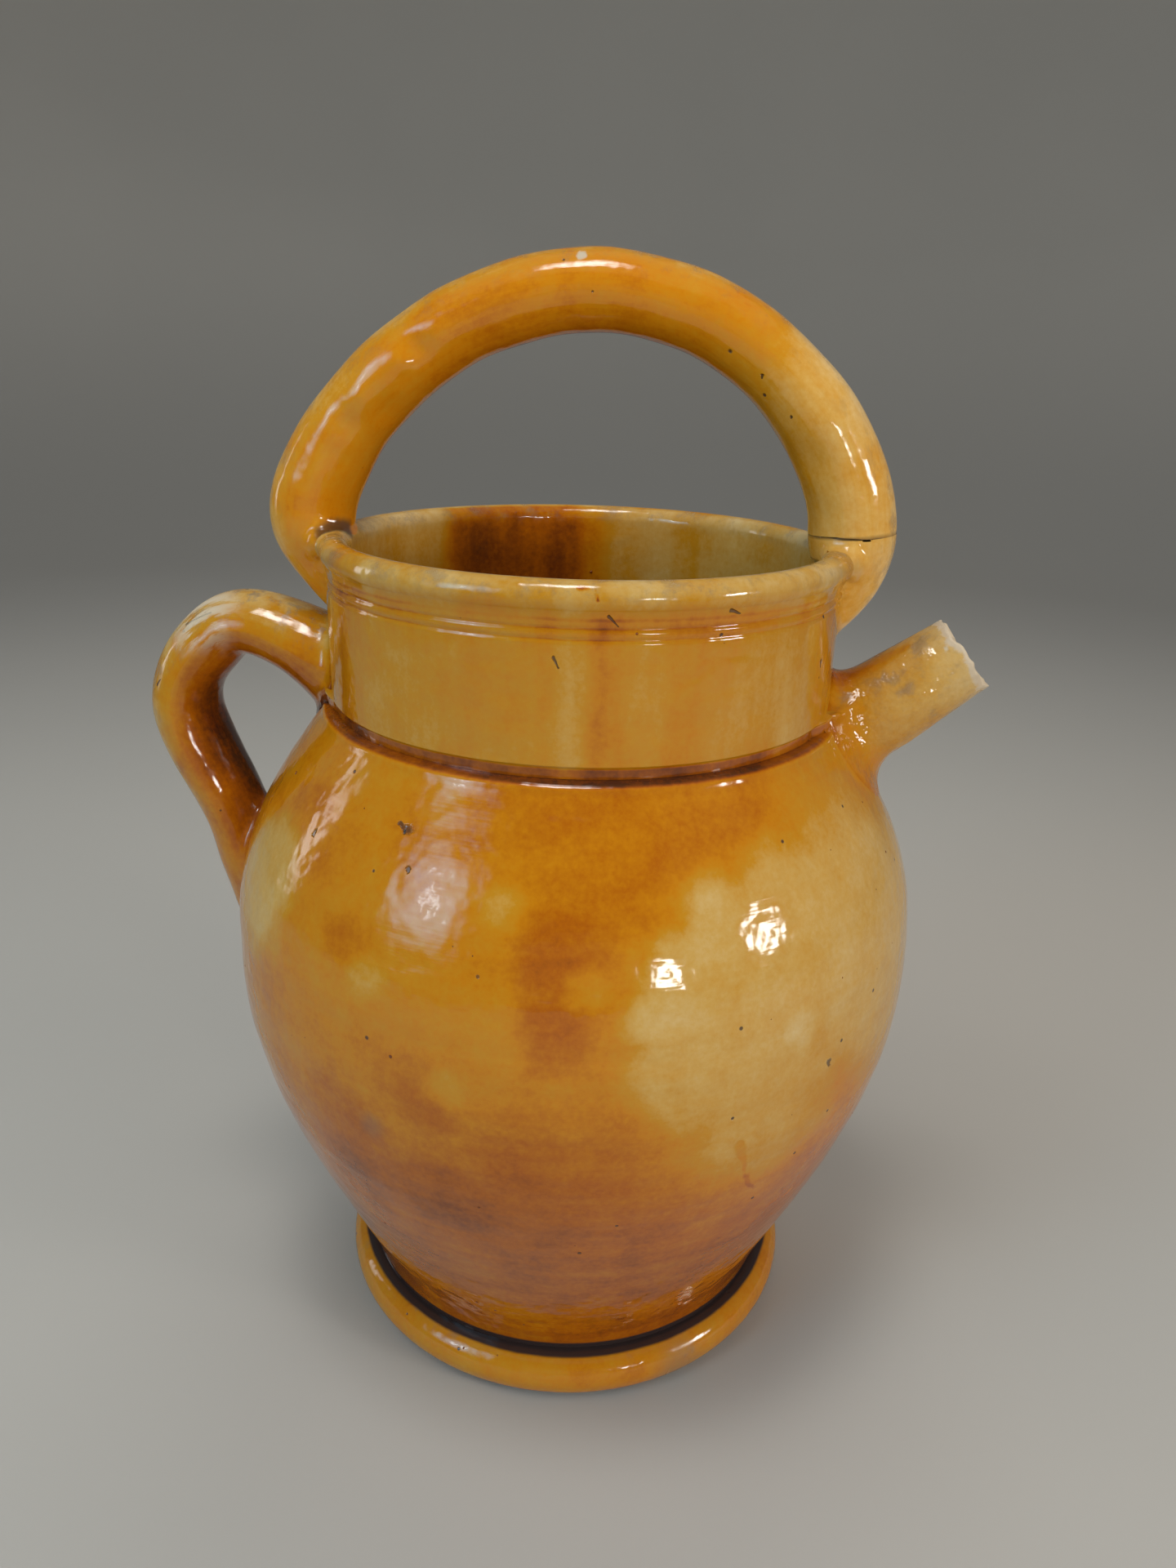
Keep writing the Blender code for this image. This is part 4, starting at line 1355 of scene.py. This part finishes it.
def spout_place(along, radius, turn):
    """Points round the spout's axis, which rises from the shoulder towards +X."""
    wall_z = SHOULDER_HEIGHT - SPOUT_DROP
    root = np.array([float(belly_radius(wall_z)), 0.0, wall_z])
    axis = np.array([math.cos(SPOUT_ANGLE), 0.0, math.sin(SPOUT_ANGLE)])
    up = np.array([-math.sin(SPOUT_ANGLE), 0.0, math.cos(SPOUT_ANGLE)])
    ring = np.cos(turn)[..., None] * up + np.sin(turn)[..., None] * np.array([0.0, 1.0, 0.0])
    return root + along[..., None] * axis + radius[..., None] * ring


def ragged_edge(turn, seed=21):
    """How far the break falls short of the full length, round the tip."""
    rough = np.random.default_rng(seed)
    edge = BREAK_SLANT * np.sin(turn + 2.4)
    for wave in (3, 5, 8, 13, 21):
        tooth = np.abs(np.sin(turn * wave / 2 + rough.uniform(0, math.tau)))
        edge = edge + BREAK_TEETH / wave ** 0.75 * tooth
    return edge - edge.min()


def make_spout():
    turn = np.linspace(0, math.tau, SPOUT_COLUMNS, endpoint=False)
    length = SPOUT_LENGTH + BREAK_SPARE - ragged_edge(turn)
    shares = np.concatenate([spaced(-0.28, 0.45, 46), np.linspace(0.45, 1.0, 26)])
    along = shares[:, None] * length
    taper = np.minimum(1.0, (SPOUT_LENGTH - along) / SPOUT_TAPER)
    radius = SPOUT_TIP + (SPOUT_ROOT - SPOUT_TIP) * taper
    outer = spout_place(along, radius, np.broadcast_to(turn, along.shape))
    centres = spout_place(along.mean(1), np.zeros(len(shares)), np.zeros(len(shares)))
    outer = lute(outer, centres, SPOUT_THUMB)
    rough = np.random.default_rng(3)
    breaks = []
    for share in BREAK_SHARES:
        pit = rough.uniform(0, PIT_DEPTH, SPOUT_COLUMNS) * (1 - abs(2 * share - 1)) + share * BREAK_HOLLOW
        radius = np.full(SPOUT_COLUMNS, SPOUT_TIP + (SPOUT_BORE - SPOUT_TIP) * share)
        breaks.append(spout_place(length - pit, radius, turn))
    bore = []
    for share in BORE_SHARES:
        inward = length * share - BURY * (1 - share)
        bore.append(spout_place(inward, np.full(SPOUT_COLUMNS, SPOUT_BORE), turn))
    rings = np.concatenate([outer, np.array(breaks), np.array(bore)])
    paint = {label: np.zeros(rings.shape[:2]) for label in ("along", "broken", "bore", "crease")}
    tip, hole = len(shares), len(shares) + len(breaks)
    paint["along"][:tip] = np.clip(shares, 0, 1)[:, None]
    paint["along"][tip:] = 1
    paint["broken"][:tip] = np.clip(1 - (length - along) / CHIPPED, 0, 1)
    paint["broken"][tip:hole] = 1
    paint["bore"][hole:] = 1
    paint["crease"][:tip] = 0.35 * crease_of(outer)
    return skin("broken_spout", rings, paint, spout_glaze())


spout_mesh = make_spout()
dress("broken_spout", spout_mesh, "spout")

# %% [markdown]
# ## Where the groove ends
#
# Side handle and spout are luted right across the groove, and the wet clay closed it there. The collar's
# points in the groove are brought out level with the shoulder near those two pieces.

# %% Close the groove
GROOVE_REACH = 9.0 * MM
GROOVE_TOP = SHOULDER_HEIGHT + GROOVE_FLAT + GROOVE_EDGE
GROOVE_SIDE = NECK_RADIUS - 2.0 * MM


def close_groove(body, limb):
    """Brings the groove of the collar out to the shoulder near a limb."""
    points = points_of(body)
    radius = np.hypot(points[:, 0], points[:, 1])
    groove = (points[:, 2] < GROOVE_TOP) & (radius > GROOVE_SIDE)
    apart = nearest(points, points_of(limb)[shown_points(limb)], GROOVE_REACH)[0]
    near = groove * np.clip(1 - apart / GROOVE_REACH, 0, 1)
    grown = 1 + near * np.clip(SHOULDER_RADIUS - radius, 0, None) / radius
    points[:, :2] *= grown[:, None]
    move_points(body, points)
    return int((near > 0).sum())


print("groove points closed:", [close_groove(collar_mesh, limb) for limb in (ear_mesh, spout_mesh)])

# %% [markdown]
# ## Iron specks
#
# Grains of iron in the clay melt through the glaze as dark, slightly raised spots. They could be painted,
# but from close by the real ones stand up and catch the light. A second Geometry Nodes tree strews points
# over the thrown skins, sets a small flat bead on each and turns it to lie on the surface.

# %% Strew the specks
SPECKS_PER_SQUARE_METRE = 700.0
SPECK_SMALL = 0.16 * MM
SPECK_LARGE = 0.55 * MM
SPECK_FLATNESS = 0.3


def build_strewer():
    sizes = [("Density", "NodeSocketFloat"), ("Smallest", "NodeSocketFloat"), ("Largest", "NodeSocketFloat")]
    strewer = Wheel("iron_strewer", sizes + [("Seed", "NodeSocketInt"), ("Material", "NodeSocketMaterial")])
    given = strewer.given
    sockets = {"Mesh": given["Geometry"], "Density": given["Density"], "Seed": given["Seed"]}
    points = strewer.node("GeometryNodeDistributePointsOnFaces", {}, sockets)
    turn = points.node.outputs["Rotation"]
    ball = strewer.node("GeometryNodeMeshIcoSphere", {}, {"Radius": 1.0, "Subdivisions": 1})
    chance = strewer.node("FunctionNodeRandomValue", {"data_type": "FLOAT"}, {"Seed": given["Seed"]}, 1)
    chance = strewer.sum("POWER", chance, 3.0)
    span = strewer.sum("SUBTRACT", given["Largest"], given["Smallest"])
    wide = strewer.sum("ADD", given["Smallest"], strewer.sum("MULTIPLY", chance, span))
    flat = strewer.sum("MULTIPLY", wide, SPECK_FLATNESS)
    scale = strewer.node("ShaderNodeCombineXYZ", {}, {0: wide, 1: wide, 2: flat})
    sockets = {"Points": points, "Instance": ball, "Rotation": turn, "Scale": scale}
    strewer.finish(strewer.node("GeometryNodeInstanceOnPoints", {}, sockets))
    return strewer


def speck_glaze():
    material, place = start_glaze("iron_speck_brown")
    return finish_glaze(material, place, 0.90 + 0.2 * (noise(place, 150.0, 2.0) - 0.5))


def strew_specks(meshes):
    """One mesh of beads on all the given skins."""
    ground = bmesh.new()
    for mesh in meshes:
        ground.from_mesh(mesh)
    joined = bpy.data.meshes.new("speck_ground")
    ground.to_mesh(joined)
    ground.free()
    settings = {"Density": SPECKS_PER_SQUARE_METRE, "Smallest": SPECK_SMALL, "Largest": SPECK_LARGE}
    settings.update({"Seed": 7, "Material": speck_glaze()})
    specks = run_tree("iron_specks", joined, build_strewer(), settings)
    piece = put("iron_specks", specks)
    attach(piece, "root")
    return len(specks.polygons) // 20


print("specks:", strew_specks([belly_mesh, collar_mesh, foot_mesh]))

# %% [markdown]
# ## Seams
#
# A wet thumb leaves no corner where a handle joins the body. The skins already meet in a hollow, but each
# keeps its own normals, so light would still break along the seam. Here the normals near a seam lean
# towards the neighbour's until both agree where they touch.

# %% Smooth the light over the seams
SEAM_REACH = 3.5 * MM


def shading_normals(mesh):
    """The normals a skin starts with; a parted roll keeps those of the whole roll."""
    if mesh.name in roll_normals:
        return roll_normals[mesh.name]
    normals = np.empty(len(mesh.vertices) * 3, dtype=np.float32)
    mesh.vertex_normals.foreach_get("vector", normals)
    return normals.reshape(-1, 3)


def lean_normals(mesh, others):
    """Blends the normals near other skins half way towards theirs."""
    points = points_of(mesh)
    normals = shading_normals(mesh)
    goal = normals.copy()
    closest = np.full(len(points), SEAM_REACH)
    for other in others:
        shown = shown_points(other)
        apart, number = nearest(points, points_of(other)[shown], SEAM_REACH)
        closer = apart < closest
        closest[closer] = apart[closer]
        goal[closer] = shading_normals(other)[shown[number[closer]]]
    return unit(normals + (goal - normals) * (0.5 - 0.5 * closest / SEAM_REACH)[:, None])


def smooth_seams(body, limbs):
    """Leans body and limbs towards each other, all from the normals they start with."""
    normals = [lean_normals(mesh, limbs) for mesh in body] + [lean_normals(mesh, body) for mesh in limbs]
    for mesh, leaned in zip(body + limbs, normals):
        mesh.normals_split_custom_set_from_vertices(leaned.tolist())
    return len(normals)


limbs = [bail_mesh, wad_left_mesh, wad_right_mesh, ear_mesh, spout_mesh]
print("seams smoothed on", smooth_seams([belly_mesh, collar_mesh], limbs), "skins")

# %% [markdown]
# ## Creases
#
# Glaze gathers wherever two pieces meet, and dries nearly black there. The handles already know how far
# they are from the body. For the body it is the other way round: each of its points looks up the nearest
# point of a handle, and stores how close it is.

# %% Paint the creases on the body
CREASE_REACH = 2.2 * MM
# The dark pool at the handle's left foot: pooled glaze with painted shade in the crease.
POOL_SHADE_REACH = 2.8 * MM
TOUCHING = 1.3 * MM
POOL_SHADE_FRONT = -3.0 * MM
POOL_SHADE_SPAN = (-66.0 * MM, -53.0 * MM)
POOL_SHADE_LOWEST = RIM_HEIGHT - 1.2 * MM


def paint_near(mesh, label, spots, reach, fall):
    """Stores 0.8 on points that touch one of the spots, fading to 0 within the reach."""
    apart = nearest(points_of(mesh), spots, reach)[0]
    near = 0.8 * np.clip(1 - apart / reach, 0, 1) ** fall
    mesh.attributes.new(label, "FLOAT", "POINT").data.foreach_set("value", near.astype(np.float32))
    return int((near > 0.1).sum())


def left_foot_seam():
    """The points in front of the left foot where the basket handle touches the rim."""
    points = points_of(bail_mesh, wad_left_mesh)
    touching = np.abs(stand_off(points, False)[0]) < TOUCHING
    in_span = (points[:, 0] > POOL_SHADE_SPAN[0]) & (points[:, 0] < POOL_SHADE_SPAN[1])
    return points[touching & in_span & (points[:, 1] < POOL_SHADE_FRONT) & (points[:, 2] > POOL_SHADE_LOWEST)]


neighbours = {belly_mesh: (ear_mesh, foot_mesh), collar_mesh: (ear_mesh,), foot_mesh: (belly_mesh,)}
for mesh, others in neighbours.items():
    print(mesh.name, paint_near(mesh, "crease", points_of(*others), CREASE_REACH, 2), "points in a crease")
# The dark pool at the left foot: pooled glaze with painted shade.
for mesh in (collar_mesh, bail_mesh, wad_left_mesh):
    print(mesh.name, paint_near(mesh, "pool", left_foot_seam(), POOL_SHADE_REACH, 1), "points in the dark pool")

# %% [markdown]
# ## The floor and the light
#
# A pale sweep of paper lies under the jug and rises all round it. On the left stand a large curtained
# window with a bright gap and, further round, a dim narrow one; on the right stand two small windows, and
# a soft light hangs overhead. Glossy glaze shows lamps as they are, so their size and place matter as much
# as their strength. Four more lamps only fill in the shade, hidden from reflections.

# %% Lay the sweep
SWEEP_FLAT = 1.2
SWEEP_ROUND = 0.9
SWEEP_TOP = 2.8
SWEEP_SIDES = 96
SWEEP_WELD = 0.1 * MM
PAPER_TONES = ((0.38, 0.36, 0.325), (0.42, 0.395, 0.355))
PAPER_FAR = (0.26, 0.25, 0.23)


def sweep_paper():
    """Pale paper that grows darker away from the jug, so no bright floor shows in the glaze."""
    material, place = start_glaze("pale_paper")
    height = along_axis(place, 2)
    away = soft_step(from_axis(place), 0.2, 1.1) * soft_step(height, 0.5, 0.0)
    colour = blend(away, blend(noise(place, 3.0, 3.0), *PAPER_TONES), PAPER_FAR)
    shader = material.node_tree.nodes["Principled BSDF"]
    material.node_tree.links.new(colour.socket, shader.inputs["Base Color"])
    shader.inputs["Roughness"].default_value = 0.65
    return material


def lay_sweep():
    """A round floor that rises all round into a backdrop."""
    bend = np.linspace(0, np.pi / 2, 20)
    radius = np.concatenate([[0.0, SWEEP_FLAT / 2], SWEEP_FLAT + SWEEP_ROUND * np.sin(bend)])
    height = np.concatenate([[0.0, 0.0], SWEEP_ROUND * (1 - np.cos(bend))])
    radius = np.append(radius, SWEEP_FLAT + SWEEP_ROUND)
    height = np.append(height, SWEEP_TOP)
    work = bmesh.new()
    rows = [work.verts.new((r, 0, z)) for r, z in zip(radius, height)]
    edges = [work.edges.new(pair) for pair in zip(rows, rows[1:])]
    around = {"cent": (0, 0, 0), "axis": (0, 0, 1), "angle": math.tau, "steps": SWEEP_SIDES}
    bmesh.ops.spin(work, geom=rows + edges, **around)
    bmesh.ops.remove_doubles(work, verts=work.verts, dist=SWEEP_WELD)
    bmesh.ops.recalc_face_normals(work, faces=work.faces)
    bmesh.ops.reverse_faces(work, faces=work.faces)
    mesh = bpy.data.meshes.new("paper_sweep")
    work.to_mesh(mesh)
    work.free()
    mesh.shade_smooth()
    mesh.materials.append(sweep_paper())
    put("paper_sweep", mesh)


lay_sweep()
print("the sweep reaches", SWEEP_FLAT + SWEEP_ROUND, "m out and", SWEEP_TOP, "m up")

# %% Hang the lamps
LAMP_TARGET = Vector((0.0, 0.0, 0.12))
LAMPS = [
    ("left_window", -46.8, 24.6, 1.22, (0.70, 0.90), 5.0, (0.25, 0.68, 1.0), "curtained"),
    ("left_gap", -46.0, 25.0, 1.2, (0.035, 0.20), 0.22, (0.85, 0.94, 1.0), "clear"),
    ("right_window", 66.0, 13.0, 1.05, (0.17, 0.17), 2.4, (1.0, 0.99, 0.96), "clear"),
    ("small_window", 32.0, 9.0, 1.05, (0.11, 0.09), 0.9, (1.0, 0.99, 0.96), "clear"),
    ("left_strip", -99.0, 12.0, 1.1, (0.20, 0.66), 0.65, (0.97, 0.98, 1.0), "curtained"),
    ("overhead", -20.0, 78.0, 1.5, (0.6, 0.6), 10.0, (1.0, 0.99, 0.97), "curtained"),
    ("front_fill", 5.0, 11.0, 1.5, (0.9, 0.5), 7.0, (1.0, 0.99, 0.97), "hidden"),
    ("left_fill", -62.0, 50.0, 1.5, (0.9, 0.9), 4.8, (1.0, 0.99, 0.97), "hidden"),
    ("right_fill", 62.0, 38.0, 1.5, (0.9, 0.9), 3.3, (1.0, 0.99, 0.97), "hidden"),
    ("back_fill", 175.0, 50.0, 1.5, (0.9, 0.9), 5.0, (1.0, 0.99, 0.97), "hidden"),
]
WINDOW_EDGE = 0.42
CURTAIN_GAIN = 2.2
ROOM_COLOUR = (0.92, 0.95, 1.0, 1)
ROOM_LEVEL = 0.2


def soften_edges(data):
    """Lets a lamp fade towards its edges, as a curtained window does."""
    data.use_nodes = True
    tree = data.node_tree
    place = Ink(tree, tree.nodes.new("ShaderNodeNewGeometry").outputs["Parametric"])
    level = CURTAIN_GAIN
    for axis in (0, 1):
        side = along_axis(place, axis)
        level = soft_step(side, 0.0, WINDOW_EDGE) * soft_step(side, 1.0, 1 - WINDOW_EDGE) * level
    tree.links.new(level.socket, tree.nodes["Emission"].inputs["Strength"])


def hang_lamp(name, degrees, above, distance, size, power, colour, kind):
    """An area lamp that many degrees round from the front and above the floor, facing the jug."""
    data = bpy.data.lights.new(name, "AREA")
    data.shape = "RECTANGLE"
    data.size = size[0]
    data.size_y = size[1]
    data.energy = power
    data.color = colour
    lamp = put(name, data)
    turn = math.radians(degrees)
    lift = math.radians(above)
    away = Vector((math.sin(turn) * math.cos(lift), -math.cos(turn) * math.cos(lift), math.sin(lift)))
    lamp.location = LAMP_TARGET + away * distance
    lamp.rotation_mode = "QUATERNION"
    lamp.rotation_quaternion = away.to_track_quat("Z", "Y")
    lamp.visible_glossy = kind != "hidden"
    if kind == "curtained":
        soften_edges(data)


for lamp in LAMPS:
    hang_lamp(*lamp)
world = bpy.data.worlds.new("soft_room")
world.use_nodes = True
room = world.node_tree.nodes["Background"]
room.inputs["Color"].default_value = ROOM_COLOUR
room.inputs["Strength"].default_value = ROOM_LEVEL
bpy.context.scene.world = world
print("lamps:", len(LAMPS))

# %% [markdown]
# ## The camera
#
# The picture was taken close up from a little above the rim, with a wide lens, which is why the mouth is
# an open oval while the foot is seen from above. The camera's place and tilt were solved from the round
# edges of the jug, and are given here as plain angles.

# %% Set up the camera
EYE_DISTANCE = 275.0 * MM
EYE_HEIGHT = 247.67 * MM
VIEW_TURN = math.radians(4.0)
VIEW_PITCH = math.radians(20.6106)
VIEW_YAW = math.radians(0.5238)
VIEW_ROLL = math.radians(1.7745)
FOCAL_PIXELS = 1380.25
PICTURE_HEIGHT = 1920
SENSOR = 36.0


def aim_camera():
    yaw = VIEW_YAW - VIEW_TURN
    level = math.cos(VIEW_PITCH)
    ahead = Vector((math.sin(yaw) * level, math.cos(yaw) * level, -math.sin(VIEW_PITCH)))
    right = Vector((math.cos(yaw), -math.sin(yaw), 0.0))
    up = right.cross(ahead)
    tilted_right = right * math.cos(VIEW_ROLL) + up * math.sin(VIEW_ROLL)
    tilted_up = up * math.cos(VIEW_ROLL) - right * math.sin(VIEW_ROLL)
    data = bpy.data.cameras.new("front_camera")
    data.sensor_width = SENSOR
    data.lens = FOCAL_PIXELS / PICTURE_HEIGHT * SENSOR
    data.clip_start = 0.01
    camera = put("front_camera", data)
    spin = Matrix((tilted_right, tilted_up, -ahead)).transposed().to_4x4()
    eye = (EYE_DISTANCE * math.sin(VIEW_TURN), -EYE_DISTANCE * math.cos(VIEW_TURN), EYE_HEIGHT)
    camera.matrix_world = Matrix.Translation(eye) @ spin
    bpy.context.scene.camera = camera
    return data.lens


print("lens:", round(aim_camera(), 2), "mm")
bpy.context.scene.view_settings.view_transform = "Standard"

# %% [markdown]
